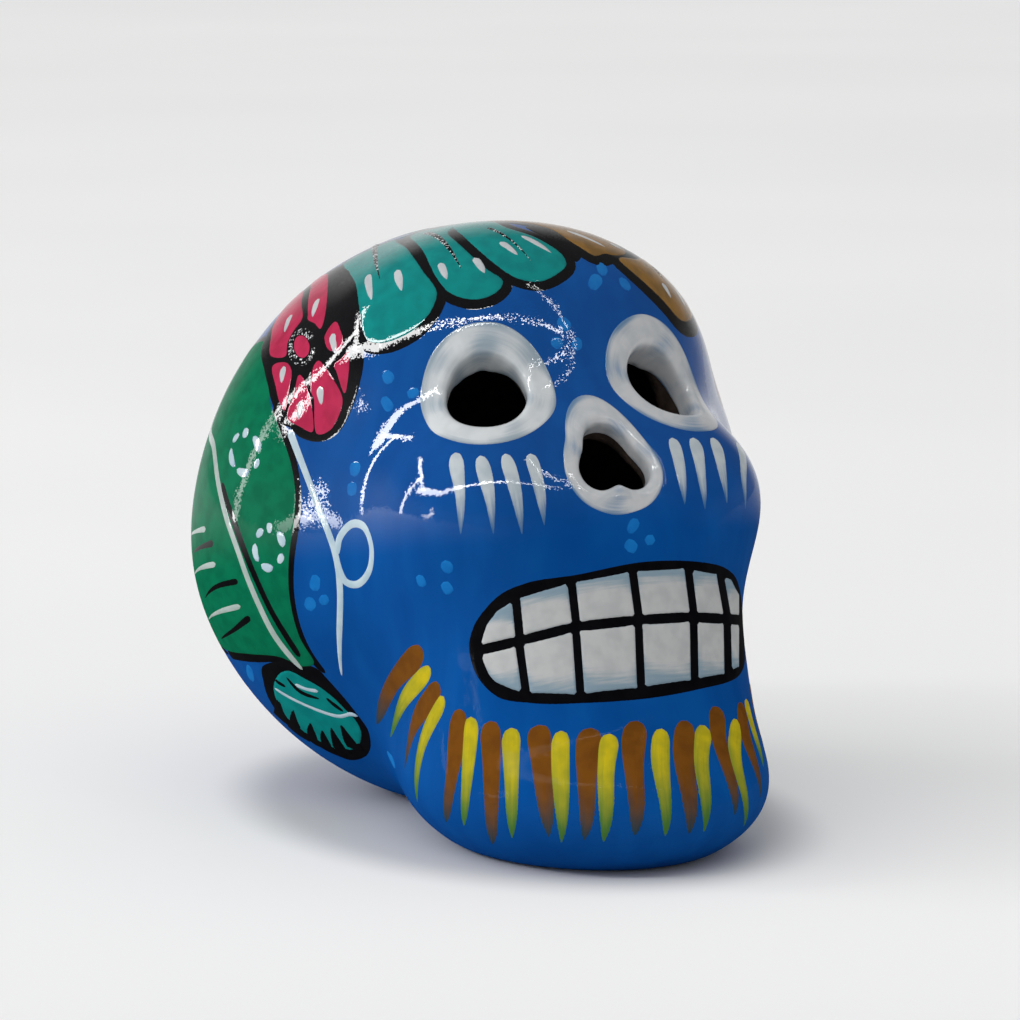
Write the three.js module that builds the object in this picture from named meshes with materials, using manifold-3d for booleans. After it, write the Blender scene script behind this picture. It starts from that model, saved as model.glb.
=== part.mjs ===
// A hand-painted hollow clay skull, about the size of a fist.
// Sizes are in millimetres and angles in degrees. The face looks along -Y, the base stands on z = 0,
// and the skull's own right side is at -X.
import * as THREE from "three";
import { mergeVertices } from "three/addons/utils/BufferGeometryUtils.js";
import Module from "manifold-3d";

const wasm = await Module();
wasm.setup();

// Masses of clay that flow together into the form: place of the middle and full size of each.
// A mass that stands on the base has the depth that the base flattens off it in place of its height up.
const CRANIUM = { side: 0, back: 18.5, flattened: 1.5, width: 88, length: 76, height: 92 };
const BROW = { side: 0, back: -0.5, up: 72, width: 57, length: 38, height: 39 };
const FACE = { side: 0, back: -17, up: 44, width: 52, length: 44, height: 46 };
const CHEEK = { side: 16.5, back: -23, up: 52.5, width: 22, length: 24, height: 19 };
const MUZZLE = { side: 0, back: -26, up: 24, width: 47, length: 41, height: 41 };
const JAW = { side: 0, back: -26, flattened: 3.5, width: 52, length: 66, height: 27 };
const NAPE = { side: 0, back: 20.5, up: 39, width: 77, length: 68, height: 42 };

// How far apart two masses still pull together
const CLAY_SOFTNESS = 5;

// The pressed wall, the flat base and the joint between the two pressed halves
const WALL = 5;
const BASE_WALL = 5;
const SEAM_BACK = 14;
const SLIP_THICKNESS = 1;
const SLIP_BEAD_WIDTH = 5;
const SLIP_BEAD_HEIGHT = 1.2;

// Eye sockets: place of the middle, direction faced, hole and flared ring
const EYE_LONGITUDE = 31.5;
const EYE_LATITUDE = 51.5;
const EYE_TURN = 24;
const EYE_TILT = 40;
const EYE_HOLE_WIDTH = 13.4;
const EYE_HOLE_HEIGHT = 14.8;
const EYE_RING_WIDTH = 20;
const EYE_RING_HEIGHT = 22;

// Nose: a rounded triangle with its point up, in a ring drawn up to a peak
const NOSE_LATITUDE = 33.5;
const NOSE_TILT = 40;
const NOSE_HOLE_WIDTH = 11.4;
const NOSE_HOLE_HEIGHT = 12.8;
const NOSE_RING_WIDTH = 15.6;
const NOSE_RING_HEIGHT = 19.5;
const NOSE_CORNERS = 0.8;
const NOSE_RING_PEAK = 2;

// The lip that rolls from the skin into a hole, how straight it starts, and the lining past it
const LIP_DEPTH = 4.6;
const LIP_STRAIGHT_SHARE = 0.4;
const LINING_TAIL = 1.25;

// How deep a socket is bored from the skin, and how far its rays run, both past the wall
const SOCKET_BORE = 2 * WALL;
const SOCKET_REACH = 5 * WALL;

// Paint films and their clearance from the clay and from each other
const FIT = 0.3;
const PAINT = 0.35;
const BRUSH_GAP = 0.5;
const BRUSH_TIP = 0.3;

// Mouth: two rows of teeth on the muzzle, seen round the upright axis of the jaw
const JAW_AXIS_BACK = -18;
const MOUTH_UP = 36.2;
const MOUTH_DROOP = 3.2;
const MOUTH_HALF_HEIGHT = 9.9;
const MOUTH_HALF_ANGLE = 56;
const MOUTH_SQUARENESS = 4;
const TOOTH_LINE = 1.9;
const TEETH_PER_SIDE = 3;

// Chin fringe: brush strokes between an upper and a lower guide line of [angle, height]
const FRINGE_STROKES_PER_SIDE = 13;
const FRINGE_ROOM_STEPS = 16;
const FRINGE_TOP_LINE = [[0, 22.6], [30, 22.4], [52, 23], [66, 26.5], [77, 32]];
const FRINGE_TIP_LINE = [[0, 6.4], [24, 5.8], [46, 4.6], [64, 5.4], [88, 10.5], [114, 15.6]];

// Crown: petals that leave the crown's middle for their own [longitude, latitude] and half width
const CROWN_MIDDLE = [-166, 73];
const CROWN_START_SHARE = 0.25;
const PETAL_ROUNDNESS = 7;
const CROWN_PETALS = [
  { name: "crown_petal_right", tip: [-66, 55.5], half: 6.4, colour: "teal" },
  { name: "crown_petal_front_right", tip: [-40, 66], half: 4.6, colour: "teal" },
  { name: "crown_petal_front", tip: [-8, 71], half: 4.2, colour: "teal" },
  { name: "crown_petal_front_left", tip: [40, 67], half: 4.4, colour: "gold" },
  { name: "crown_petal_left", tip: [68, 55.5], half: 5.6, colour: "gold" },
  { name: "crown_petal_back_left", tip: [142, 46], half: 6, colour: "gold" },
  { name: "crown_petal_back_right", tip: [-158, 44], half: 6, colour: "teal" },
];

// Side flower, leaf and lower sprig, the same on both sides of the head
const FLOWER_TOP = [112, 55];
const FLOWER_BOTTOM = [82, 38];
const FLOWER_HALF_WIDTH = 10.5;
const LEAF_TIP = [88, -13];
const LEAF_MIDDLE = [105, 14];
const LEAF_STALK = [134, 36];
const LEAF_HALF_WIDTH = 13;
const LEAF_FULLNESS = 0.8;
const SPRIG_BACK = [106, -27];
const SPRIG_FRONT = [81, -33];
const SPRIG_HALF_WIDTH = 5.4;

// Finish of each part: colour, roughness
const FINISHES = {
  blue: ["#1f5fa7", 0.16],
  clay: ["#9c5f3f", 0.9],
  white: ["#d9dadf", 0.3],
  ochre: ["#7a4719", 0.25],
  yellow: ["#d3ba27", 0.25],
  teal: ["#10837e", 0.2],
  gold: ["#7f6642", 0.25],
  pink: ["#c8325a", 0.2],
  green: ["#156241", 0.2],
};

// How finely the skin, the hollow and the ring films are faceted
const SKIN_DETAIL = 12;
const HOLLOW_DETAIL = 8;
const RING_SEGMENTS = 24;
const LIP_STEPS = 4;
const TOOTH_STEPS = 3;
const STROKE_GRID = [5, 1];
const PETAL_GRID = [7, 3];
const FLOWER_GRID = [8, 5];
const LEAF_GRID = [10, 5];
const SPRIG_GRID = [7, 3];
const SKIN_SEARCH_STEPS = 36;

// Further than any skin lies from the middle, and the size of the blocks that cut the skull
const SKIN_REACH = 100;
const BLOCK_SIZE = 3 * SKIN_REACH;

// Point inside the clay from which every part of the skin is in sight
const HEART_BACK = 2;
const HEART_UP = 36;
const HEART = new THREE.Vector3(0, HEART_BACK, HEART_UP);

const QUARTER_TURN = 90;
const AXIS = { back: 1, up: 2 };

// A mass that stands on the base, with its height up
const standing = (mass) => ({ ...mass, up: mass.height / 2 - mass.flattened });
const OTHER_CHEEK = { ...CHEEK, side: -CHEEK.side };
const MASSES = [standing(CRANIUM), BROW, FACE, CHEEK, OTHER_CHEEK, MUZZLE, standing(JAW), NAPE];

// Distance from a point to one mass, below zero inside it
function massDistance(point, mass) {
  const x = point.x - mass.side;
  const y = point.y - mass.back;
  const z = point.z - mass.up;
  const a = mass.width / 2;
  const b = mass.length / 2;
  const c = mass.height / 2;
  const share = Math.hypot(x / a, y / b, z / c);
  const slope = Math.hypot(x / (a * a), y / (b * b), z / (c * c));
  return slope > 0 ? (share * (share - 1)) / slope : -Math.min(a, b, c);
}

// Distance from a point to the skin of all the masses run together, below zero inside
function clayDistance(point) {
  let pull = 0;
  for (const mass of MASSES) {
    pull += Math.exp(-massDistance(point, mass) / CLAY_SOFTNESS);
  }
  return -CLAY_SOFTNESS * Math.log(pull);
}

// Where a ray that starts inside the clay meets the skin moved out by a lift
function skinOnRay(start, direction, lift, reach) {
  const point = new THREE.Vector3();
  let inside = 0;
  let outside = reach;
  for (let step = 0; step < SKIN_SEARCH_STEPS; step += 1) {
    const middle = (inside + outside) / 2;
    point.copy(start).addScaledVector(direction, middle);
    if (clayDistance(point) < lift) {
      inside = middle;
    } else {
      outside = middle;
    }
  }
  return point.copy(start).addScaledVector(direction, (inside + outside) / 2);
}

// Direction of a turn round the upright axis from the face, and a tilt up from level
function aim(turn, tilt) {
  const turned = THREE.MathUtils.degToRad(turn);
  const tilted = THREE.MathUtils.degToRad(tilt);
  const level = Math.cos(tilted);
  return new THREE.Vector3(Math.sin(turned) * level, -Math.cos(turned) * level, Math.sin(tilted));
}

// Skin point seen from the heart towards another point
function skinTowards(point, lift) {
  const direction = point.clone().sub(HEART).normalize();
  return skinOnRay(HEART, direction, lift, SKIN_REACH);
}

// Skin point at a longitude and latitude seen from the heart
function skinAt([longitude, latitude], lift = 0) {
  return skinOnRay(HEART, aim(longitude, latitude), lift, SKIN_REACH);
}

// Skin point at an angle round the jaw's axis and a height above the base
function skinAtHeight(angle, up, lift = 0) {
  return skinOnRay(new THREE.Vector3(0, JAW_AXIS_BACK, up), aim(angle, 0), lift, SKIN_REACH);
}

// The closed solid of a geometry, ready to join and cut
function solidOf(geometry) {
  const bare = geometry.clone();
  bare.deleteAttribute("normal");
  bare.deleteAttribute("uv");
  const merged = mergeVertices(bare);
  return new wasm.Manifold(
    new wasm.Mesh({
      numProp: 3,
      vertProperties: new Float32Array(merged.attributes.position.array),
      triVerts: new Uint32Array(merged.index.array),
    }),
  );
}

// The geometry of a solid
function geometryOf(solid) {
  const mesh = solid.getMesh();
  const geometry = new THREE.BufferGeometry();
  geometry.setAttribute("position", new THREE.BufferAttribute(mesh.vertProperties, 3));
  geometry.setIndex(new THREE.BufferAttribute(mesh.triVerts, 1));
  return geometry;
}

// The whole skin moved out by a lift, as a solid
function clayBody(lift, detail) {
  const ball = new THREE.IcosahedronGeometry(1, detail);
  const corners = ball.attributes.position;
  const corner = new THREE.Vector3();
  for (let i = 0; i < corners.count; i += 1) {
    corner.fromBufferAttribute(corners, i).normalize();
    const met = skinOnRay(HEART, corner, lift, SKIN_REACH);
    corners.setXYZ(i, met.x, met.y, met.z);
  }
  return solidOf(ball);
}

// A block between two planes across one axis, wider than the skull
function slab(axis, low, high) {
  const size = [BLOCK_SIZE, BLOCK_SIZE, BLOCK_SIZE];
  const place = [0, 0, 0];
  size[axis] = high - low;
  place[axis] = (high + low) / 2;
  const block = new THREE.BoxGeometry(...size);
  block.translate(...place);
  return solidOf(block);
}

// A solid between two layers of a grid of points, closed round when its columns form a ring
function sheetSolid(rows, columns, ring, place) {
  const across = ring ? columns : columns + 1;
  const points = [];
  for (let layer = 0; layer < 2; layer += 1) {
    for (let row = 0; row <= rows; row += 1) {
      for (let column = 0; column < across; column += 1) {
        points.push(place(row, column, layer));
      }
    }
  }
  const at = (layer, row, column) => (layer * (rows + 1) + row) * across + (column % across);
  const faces = [];
  const square = (a, b, c, d) => faces.push([a, b, c], [a, c, d]);
  for (let row = 0; row < rows; row += 1) {
    for (let column = 0; column < columns; column += 1) {
      square(at(1, row, column), at(1, row, column + 1), at(1, row + 1, column + 1), at(1, row + 1, column));
      square(at(0, row, column), at(0, row + 1, column), at(0, row + 1, column + 1), at(0, row, column + 1));
    }
  }
  for (let column = 0; column < columns; column += 1) {
    square(at(0, 0, column), at(0, 0, column + 1), at(1, 0, column + 1), at(1, 0, column));
    square(at(1, rows, column), at(1, rows, column + 1), at(0, rows, column + 1), at(0, rows, column));
  }
  for (let row = 0; row < rows && !ring; row += 1) {
    square(at(1, row, 0), at(1, row + 1, 0), at(0, row + 1, 0), at(0, row, 0));
    square(at(0, row, columns), at(0, row + 1, columns), at(1, row + 1, columns), at(1, row, columns));
  }
  return facingOut(points, faces);
}

// A solid through a stack of rings of points, capped at both ends
function ringSolid(rings) {
  const count = rings[0].length;
  const points = rings.flat();
  const faces = [];
  for (let level = 0; level + 1 < rings.length; level += 1) {
    for (let i = 0; i < count; i += 1) {
      const next = (i + 1) % count;
      const low = level * count;
      const high = low + count;
      faces.push([low + i, low + next, high + next], [low + i, high + next, high + i]);
    }
  }
  const top = (rings.length - 1) * count;
  for (let i = 1; i + 1 < count; i += 1) {
    faces.push([0, i + 1, i], [top, top + i, top + i + 1]);
  }
  return facingOut(points, faces);
}

// The geometry of points and faces, turned so that its faces look outwards
function facingOut(points, faces) {
  let volume = 0;
  for (const [a, b, c] of faces) {
    volume += points[a].dot(points[b].clone().cross(points[c]));
  }
  const turned = volume < 0 ? faces.map(([a, b, c]) => [a, c, b]) : faces;
  const geometry = new THREE.BufferGeometry().setFromPoints(points);
  geometry.setIndex(turned.flat());
  return geometry;
}

// Sockets: each has a middle on the skin, a direction faced, and polar outlines of hole and ring
function socketAt(place, turn, tilt, hole, ring) {
  const out = aim(turn, tilt);
  const right = aim(turn + QUARTER_TURN, 0);
  const up = new THREE.Vector3().crossVectors(right, out).negate();
  return { middle: skinAt(place), out, right, up, hole, ring };
}

// Polar radius of an ellipse of a full width and height
function ovalOutline(width, height) {
  return (angle) => 1 / Math.hypot(Math.cos(angle) / (width / 2), Math.sin(angle) / (height / 2));
}

// Polar radius of an oval drawn out to three rounded corners, with a peak on the upper one
function nosedOutline(width, height, peak) {
  const oval = ovalOutline(width, height);
  return (angle) => {
    const rise = Math.max(0, Math.sin(angle));
    return oval(angle) - NOSE_CORNERS * Math.sin(3 * angle) + peak * rise * rise;
  };
}

// Point of a socket's lip: step 0 is on the ring, the last step is where the straight hole starts.
// The lift is measured square to the lip, towards the open air.
function lipPoint(socket, angle, step, lift) {
  const hole = socket.hole(angle);
  const ring = socket.ring(angle);
  const roll = (step / LIP_STEPS) * (Math.PI / 2);
  const inwards = Math.sin(roll);
  const rolled = 1 - Math.cos(roll);
  const sunk = LIP_DEPTH * (LIP_STRAIGHT_SHARE * inwards + (1 - LIP_STRAIGHT_SHARE) * rolled);
  const radius = ring - (ring - hole) * inwards - lift * inwards;
  const base = socketPoint(socket, angle, radius, 0);
  return base.addScaledVector(socket.out, lift * Math.cos(roll) - sunk);
}

// Point at a polar place in front of a socket, a height out from the skin there
function socketPoint(socket, angle, radius, height) {
  const start = socket.middle.clone();
  start.addScaledVector(socket.right, radius * Math.cos(angle));
  start.addScaledVector(socket.up, radius * Math.sin(angle));
  start.addScaledVector(socket.out, -SOCKET_BORE);
  const met = skinOnRay(start, socket.out, 0, SOCKET_REACH);
  return met.addScaledVector(socket.out, height);
}

// The plug of air that opens a socket through the wall
function socketPlug(socket) {
  const rings = [];
  const ringOf = (place) => {
    const points = [];
    for (let i = 0; i < RING_SEGMENTS; i += 1) {
      points.push(place((i / RING_SEGMENTS) * 2 * Math.PI));
    }
    rings.push(points);
  };
  const lead = LIP_DEPTH / 2;
  ringOf((angle) => lipPoint(socket, angle, LIP_STEPS, 0).addScaledVector(socket.out, -SOCKET_BORE));
  for (let step = LIP_STEPS; step >= 0; step -= 1) {
    ringOf((angle) => lipPoint(socket, angle, step, 0));
  }
  ringOf((angle) => socketPoint(socket, angle, socket.ring(angle) + lead, lead));
  ringOf((angle) => socketPoint(socket, angle, socket.ring(angle) + lead, SOCKET_BORE));
  return solidOf(ringSolid(rings));
}

// The white film that rolls over a socket's lip and lines the hole
function socketLining(socket) {
  const rows = LIP_STEPS + 1;
  return sheetSolid(rows, RING_SEGMENTS, true, (row, column, layer) => {
    const angle = (column / RING_SEGMENTS) * 2 * Math.PI;
    const lift = FIT + layer * PAINT;
    if (row <= LIP_STEPS) {
      return lipPoint(socket, angle, row, lift);
    }
    return lipPoint(socket, angle, LIP_STEPS, lift).addScaledVector(socket.out, -LINING_TAIL);
  });
}

// A brush mark along a line of points, with a half width at each share of its length
function brushMark(line, halfWidth, [rows, columns]) {
  const path = new THREE.CatmullRomCurve3(line);
  return sheetSolid(rows, columns, false, (row, column, layer) => {
    const share = row / rows;
    const along = path.getTangent(share);
    const middle = path.getPoint(share);
    const side = middle.clone().sub(HEART).cross(along).normalize();
    const reach = Math.max(halfWidth(share), BRUSH_TIP) * ((2 * column) / columns - 1);
    return skinTowards(middle.addScaledVector(side, reach), FIT + layer * PAINT);
  });
}

// Half widths along a mark: a loaded brush that lifts off to a point, an oval, a leaf and a petal.
// The peak makes a stroke's widest place as wide as its half width says.
const BRUSH_PEAK = 1.5 * Math.sqrt(3);
const strokeWidth = (half) => (share) => half * BRUSH_PEAK * Math.sqrt(share) * (1 - share);
const ovalWidth = (half) => (share) => half * Math.sqrt(Math.max(0, 1 - (2 * share - 1) ** 2));
const leafWidth = (half) => (share) => half * Math.sin(Math.PI * share) ** LEAF_FULLNESS;
const petalWidth = (half) => (share) => {
  const spread = CROWN_START_SHARE + (1 - CROWN_START_SHARE) * share;
  return half * spread * Math.sqrt(1 - share ** PETAL_ROUNDNESS);
};

// Half height of the mouth at a share of its half angle
function mouthHalfHeight(share) {
  return MOUTH_HALF_HEIGHT * Math.cbrt(Math.max(0, 1 - Math.abs(share) ** MOUTH_SQUARENESS));
}

// One tooth: column 0 is next to the middle line, side is -1 or 1, row is 1 above and -1 below
function toothFilm(column, side, row) {
  const muzzleRadius = skinAtHeight(0, MOUTH_UP).y - JAW_AXIS_BACK;
  const line = THREE.MathUtils.radToDeg(TOOTH_LINE / 2 / Math.abs(muzzleRadius));
  const pitch = MOUTH_HALF_ANGLE / TEETH_PER_SIDE;
  const near = column * pitch + line;
  const far = (column + 1) * pitch - line;
  return sheetSolid(TOOTH_STEPS, TOOTH_STEPS, false, (i, j, layer) => {
    const angle = near + ((far - near) * i) / TOOTH_STEPS;
    const share = angle / MOUTH_HALF_ANGLE;
    const edge = mouthHalfHeight(share) - TOOTH_LINE;
    const height = TOOTH_LINE / 2 + ((edge - TOOTH_LINE / 2) * j) / TOOTH_STEPS;
    const up = MOUTH_UP - MOUTH_DROOP * share * share + row * height;
    return skinAtHeight(side * angle, up, FIT + layer * PAINT);
  });
}

// Spines of the chin fringe on one side, from the middle outwards, each from top to tip
function fringeSpines(side) {
  const guide = (points) =>
    new THREE.CatmullRomCurve3(points.map(([angle, up]) => skinAtHeight(side * angle, up)));
  const tops = guide(FRINGE_TOP_LINE);
  const tips = guide(FRINGE_TIP_LINE);
  const spines = [];
  for (let i = 0; i < FRINGE_STROKES_PER_SIDE; i += 1) {
    const share = (i + 0.5) / FRINGE_STROKES_PER_SIDE;
    const top = tops.getPointAt(share);
    const tip = tips.getPointAt(share);
    spines.push([top, skinTowards(top.clone().lerp(tip, 0.5), 0), tip]);
  }
  return spines;
}

// Least room between the bodies of two strokes' spines
function roomBetween(spine, other) {
  const steps = Array.from({ length: FRINGE_ROOM_STEPS + 1 }, (_, i) => i / FRINGE_ROOM_STEPS);
  const path = new THREE.CatmullRomCurve3(spine);
  const otherPath = new THREE.CatmullRomCurve3(other);
  const rooms = steps.map((share) => {
    const here = path.getPoint(share);
    return Math.min(...steps.map((otherShare) => otherPath.getPoint(otherShare).distanceTo(here)));
  });
  return Math.min(...rooms);
}

const skull = new THREE.Group();

// Adds one named piece with its finish
function addPiece(name, geometry, finish) {
  const [color, roughness] = FINISHES[finish];
  const material = new THREE.MeshStandardMaterial({ color, roughness, metalness: 0 });
  const piece = new THREE.Mesh(geometry, material);
  piece.name = name;
  skull.add(piece);
}

// The two pressed halves, hollow, open at the sockets and flat underneath
const eyeHole = ovalOutline(EYE_HOLE_WIDTH, EYE_HOLE_HEIGHT);
const eyeRing = ovalOutline(EYE_RING_WIDTH, EYE_RING_HEIGHT);
const noseHole = nosedOutline(NOSE_HOLE_WIDTH, NOSE_HOLE_HEIGHT, 0);
const noseRing = nosedOutline(NOSE_RING_WIDTH, NOSE_RING_HEIGHT, NOSE_RING_PEAK);
const sockets = {
  right_eye_lining: socketAt([-EYE_LONGITUDE, EYE_LATITUDE], -EYE_TURN, EYE_TILT, eyeHole, eyeRing),
  left_eye_lining: socketAt([EYE_LONGITUDE, EYE_LATITUDE], EYE_TURN, EYE_TILT, eyeHole, eyeRing),
  nose_lining: socketAt([0, NOSE_LATITUDE], 0, NOSE_TILT, noseHole, noseRing),
};
const above = (level) => slab(AXIS.up, level, BLOCK_SIZE);
const skin = clayBody(0, SKIN_DETAIL).intersect(above(0));
const hollow = (inset) => clayBody(-WALL - inset, HOLLOW_DETAIL).intersect(above(BASE_WALL + inset));
let wall = skin.subtract(hollow(0));
for (const socket of Object.values(sockets)) {
  wall = wall.subtract(socketPlug(socket));
}
const seamFront = SEAM_BACK - SLIP_THICKNESS / 2;
const seamRear = SEAM_BACK + SLIP_THICKNESS / 2;
addPiece("face_shell", geometryOf(wall.intersect(slab(AXIS.back, -SKIN_REACH, seamFront))), "blue");
addPiece("back_shell", geometryOf(wall.intersect(slab(AXIS.back, seamRear, SKIN_REACH))), "blue");

// The slip that joins the halves, squeezed out into a bead along the inside
const beadSlab = slab(AXIS.back, SEAM_BACK - SLIP_BEAD_WIDTH / 2, SEAM_BACK + SLIP_BEAD_WIDTH / 2);
const slipRing = skin.intersect(slab(AXIS.back, seamFront, seamRear));
const slipBead = hollow(FIT).intersect(beadSlab);
addPiece("seam_slip", geometryOf(slipRing.add(slipBead).subtract(hollow(FIT + SLIP_BEAD_HEIGHT))), "clay");

// White linings of the sockets
for (const [name, socket] of Object.entries(sockets)) {
  addPiece(name, socketLining(socket), "white");
}

// Teeth, chin fringe and side ornament, right then left
for (const [sideName, side] of [["right", -1], ["left", 1]]) {
  for (let column = 0; column < TEETH_PER_SIDE; column += 1) {
    addPiece(`tooth_upper_${sideName}_${column + 1}`, toothFilm(column, side, 1), "white");
    addPiece(`tooth_lower_${sideName}_${column + 1}`, toothFilm(column, side, -1), "white");
  }
  const spines = fringeSpines(side);
  const shared = side < 0 ? fringeSpines(1)[0] : fringeSpines(-1)[0];
  spines.forEach((spine, i) => {
    const inner = roomBetween(spine, i > 0 ? spines[i - 1] : shared);
    const outer = i + 1 < spines.length ? roomBetween(spine, spines[i + 1]) : inner;
    const half = (Math.min(inner, outer) - BRUSH_GAP) / 2;
    const ochre = (i % 2 === 0) === side < 0;
    const film = brushMark(spine, strokeWidth(half), STROKE_GRID);
    addPiece(`fringe_${sideName}_${i + 1}`, film, ochre ? "ochre" : "yellow");
  });
  const sided = ([longitude, latitude]) => skinAt([side * longitude, latitude]);
  const flowerMiddle = skinTowards(sided(FLOWER_TOP).lerp(sided(FLOWER_BOTTOM), 0.5), 0);
  const flowerLine = [sided(FLOWER_TOP), flowerMiddle, sided(FLOWER_BOTTOM)];
  addPiece(`flower_${sideName}`, brushMark(flowerLine, ovalWidth(FLOWER_HALF_WIDTH), FLOWER_GRID), "pink");
  const leafLine = [sided(LEAF_TIP), sided(LEAF_MIDDLE), sided(LEAF_STALK)];
  addPiece(`leaf_${sideName}`, brushMark(leafLine, leafWidth(LEAF_HALF_WIDTH), LEAF_GRID), "green");
  const sprigMiddle = skinTowards(sided(SPRIG_BACK).lerp(sided(SPRIG_FRONT), 0.5), 0);
  const sprigLine = [sided(SPRIG_BACK), sprigMiddle, sided(SPRIG_FRONT)];
  addPiece(`sprig_${sideName}`, brushMark(sprigLine, ovalWidth(SPRIG_HALF_WIDTH), SPRIG_GRID), "teal");
}

// Petals of the crown
for (const petal of CROWN_PETALS) {
  const start = skinAt(CROWN_MIDDLE);
  const tip = skinAt(petal.tip);
  const first = skinTowards(start.clone().lerp(tip, CROWN_START_SHARE), 0);
  const middle = skinTowards(first.clone().lerp(tip, 0.5), 0);
  addPiece(petal.name, brushMark([first, middle, tip], petalWidth(petal.half), PETAL_GRID), petal.colour);
}

// The origin is under the middle of the whole skull
const box = new THREE.Box3().setFromObject(skull);
const middle = box.getCenter(new THREE.Vector3());
skull.children.forEach((piece) => piece.position.set(-middle.x, -middle.y, -box.min.z));

export default skull;
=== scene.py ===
# A hand-painted clay skull as it looks: smooth varnished clay, and each mark of the brush a film on it.
import math

import bpy
import numpy as np
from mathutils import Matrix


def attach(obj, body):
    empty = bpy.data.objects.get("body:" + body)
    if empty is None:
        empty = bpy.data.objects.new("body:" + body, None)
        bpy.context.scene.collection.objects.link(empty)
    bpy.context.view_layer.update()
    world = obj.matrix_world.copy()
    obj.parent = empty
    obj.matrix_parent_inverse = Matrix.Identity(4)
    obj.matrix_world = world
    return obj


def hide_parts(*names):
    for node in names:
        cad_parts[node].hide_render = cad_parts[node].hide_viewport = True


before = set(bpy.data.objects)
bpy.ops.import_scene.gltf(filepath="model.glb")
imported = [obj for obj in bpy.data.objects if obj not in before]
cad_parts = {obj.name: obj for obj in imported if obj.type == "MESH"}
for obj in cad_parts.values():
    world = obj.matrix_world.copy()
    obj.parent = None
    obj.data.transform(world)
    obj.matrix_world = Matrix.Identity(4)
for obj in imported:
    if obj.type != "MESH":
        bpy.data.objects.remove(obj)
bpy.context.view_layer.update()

import openvdb
from mathutils import Matrix
from mathutils.geometry import delaunay_2d_cdt

# Everything is worked out in millimetres in the frame, and turned to metres where a mesh is made
MM = 0.001

# Soft masses of the clay: middle (side, back, up) and size
MASSES = (
    ((0, 18.94, 44.5), (88, 76, 92)),
    ((0, -0.06, 72), (57, 38, 39)),
    ((0, -16.56, 44), (52, 44, 46)),
    ((-16.5, -22.56, 52.5), (22, 24, 19)),
    ((16.5, -22.56, 52.5), (22, 24, 19)),
    ((0, -25.56, 24), (47, 41, 41)),
    ((0, -25.56, 10), (52, 66, 27)),
    ((0, 20.94, 39), (77, 68, 42)),
)
CLAY_SOFTNESS = 5
WALL = 5
HEART = np.array((0, 2.44, 36))
LIP_SOFTNESS = 1.5
HOLLOW_SOFTNESS = 1.2
BASE_SOFTNESS = 1.0
BORE_DEPTH = 14

# Eye and nose holes: place on the skin, way that they face (degrees), and sizes
EYE_PLACE = (31.5, 50.3)
EYE_FACING = (24, 40)
EYE_HOLE = (12.7, 13.9)
EYE_RING = (20.4, 22.6)
EYE_SHIFT = (0.0, -0.3)
RIGHT_EYE_CORNER = (-0.25, 0.7)
LEFT_EYE_CORNER = (-0.75, 0.15)
RING_CORNER_SPREAD = 0.4
NOSE_PLACE = (0, 33.5)
NOSE_FACING = (0, 40)
NOSE_HOLE = (11.4, 12.8)
NOSE_RING = (15.6, 19.5)
NOSE_SHIFT = (0.5, 0.0)
NOSE_CORNERS = (0.75, 0.7)
NOSE_RING_PEAK = 2.2
PEAK_SHARPNESS = 12

# Camera: the photograph's frame in pixels, and where it was taken from
IMAGE = 1020
FOCAL = 4754.3
CAMERA_TURN = math.radians(-23.8264)
CAMERA_RISE = math.radians(8.5305)
CAMERA_DISTANCE = 750
CAMERA_AIM = np.array((-0.914, 0.843, 47.805))
CAMERA_CLIP = (0.05, 60)
SENSOR = 36
BACK = np.array((
    math.sin(CAMERA_TURN) * math.cos(CAMERA_RISE),
    -math.cos(CAMERA_TURN) * math.cos(CAMERA_RISE),
    math.sin(CAMERA_RISE),
))
RIGHT = np.array((math.cos(CAMERA_TURN), math.sin(CAMERA_TURN), 0))
UP = np.cross(BACK, RIGHT)
EYE = CAMERA_AIM + CAMERA_DISTANCE * BACK

# Heights of the paint layers over the clay
COAT = 0.0
LEAF = 0.04
INK = 0.04
FLOWER_INK = 0.055
COLOUR = 0.08
SINK = 0.03
ROOT_DEPTH = 0.2

# How far off a place on the clay is looked for, and the halvings that find it
SKIN_REACH = 90
SKIN_ROUNDS = 26
SEEN_DEPTHS = (660, 840, 0.5)
SEEN_ROUNDS = 12
SOCKET_REACH = 25.0
SOCKET_ROUNDS = 24
TINY = 1e-9
LEAST_KNOT = 1e-6

# Knots between which the points of a soft curve are blended, round by round
KNOT_SPANS = (((0, 1), (1, 2), (2, 3)), ((0, 2), (1, 3)), ((1, 2),))

# Hand-made unevenness
SEED = 11
PHASE = (0, 6)
rng = np.random.default_rng(SEED)


def unit(vectors):
    """The vectors at length one."""
    vectors = np.asarray(vectors, float)
    return vectors / np.linalg.norm(vectors, axis=-1, keepdims=True)


def aim(turn, rise):
    """Direction turned from the face towards the left side, and raised, in degrees."""
    turn, rise = np.radians(turn), np.radians(rise)
    return np.stack((np.sin(turn) * np.cos(rise), -np.cos(turn) * np.cos(rise), np.sin(rise) + 0 * turn), -1)


def clay(points):
    """Distance, about, from the outside of the clay: below zero in it."""
    total = 0
    for middle, size in MASSES:
        offset = points - np.array(middle)
        radii = np.array(size) / 2
        near = np.sqrt(((offset / radii) ** 2).sum(-1))
        steep = np.sqrt(((offset / radii**2) ** 2).sum(-1)) + TINY
        total = total + np.exp(-near * (near - 1) / steep / CLAY_SOFTNESS)
    return -CLAY_SOFTNESS * np.log(total)


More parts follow.
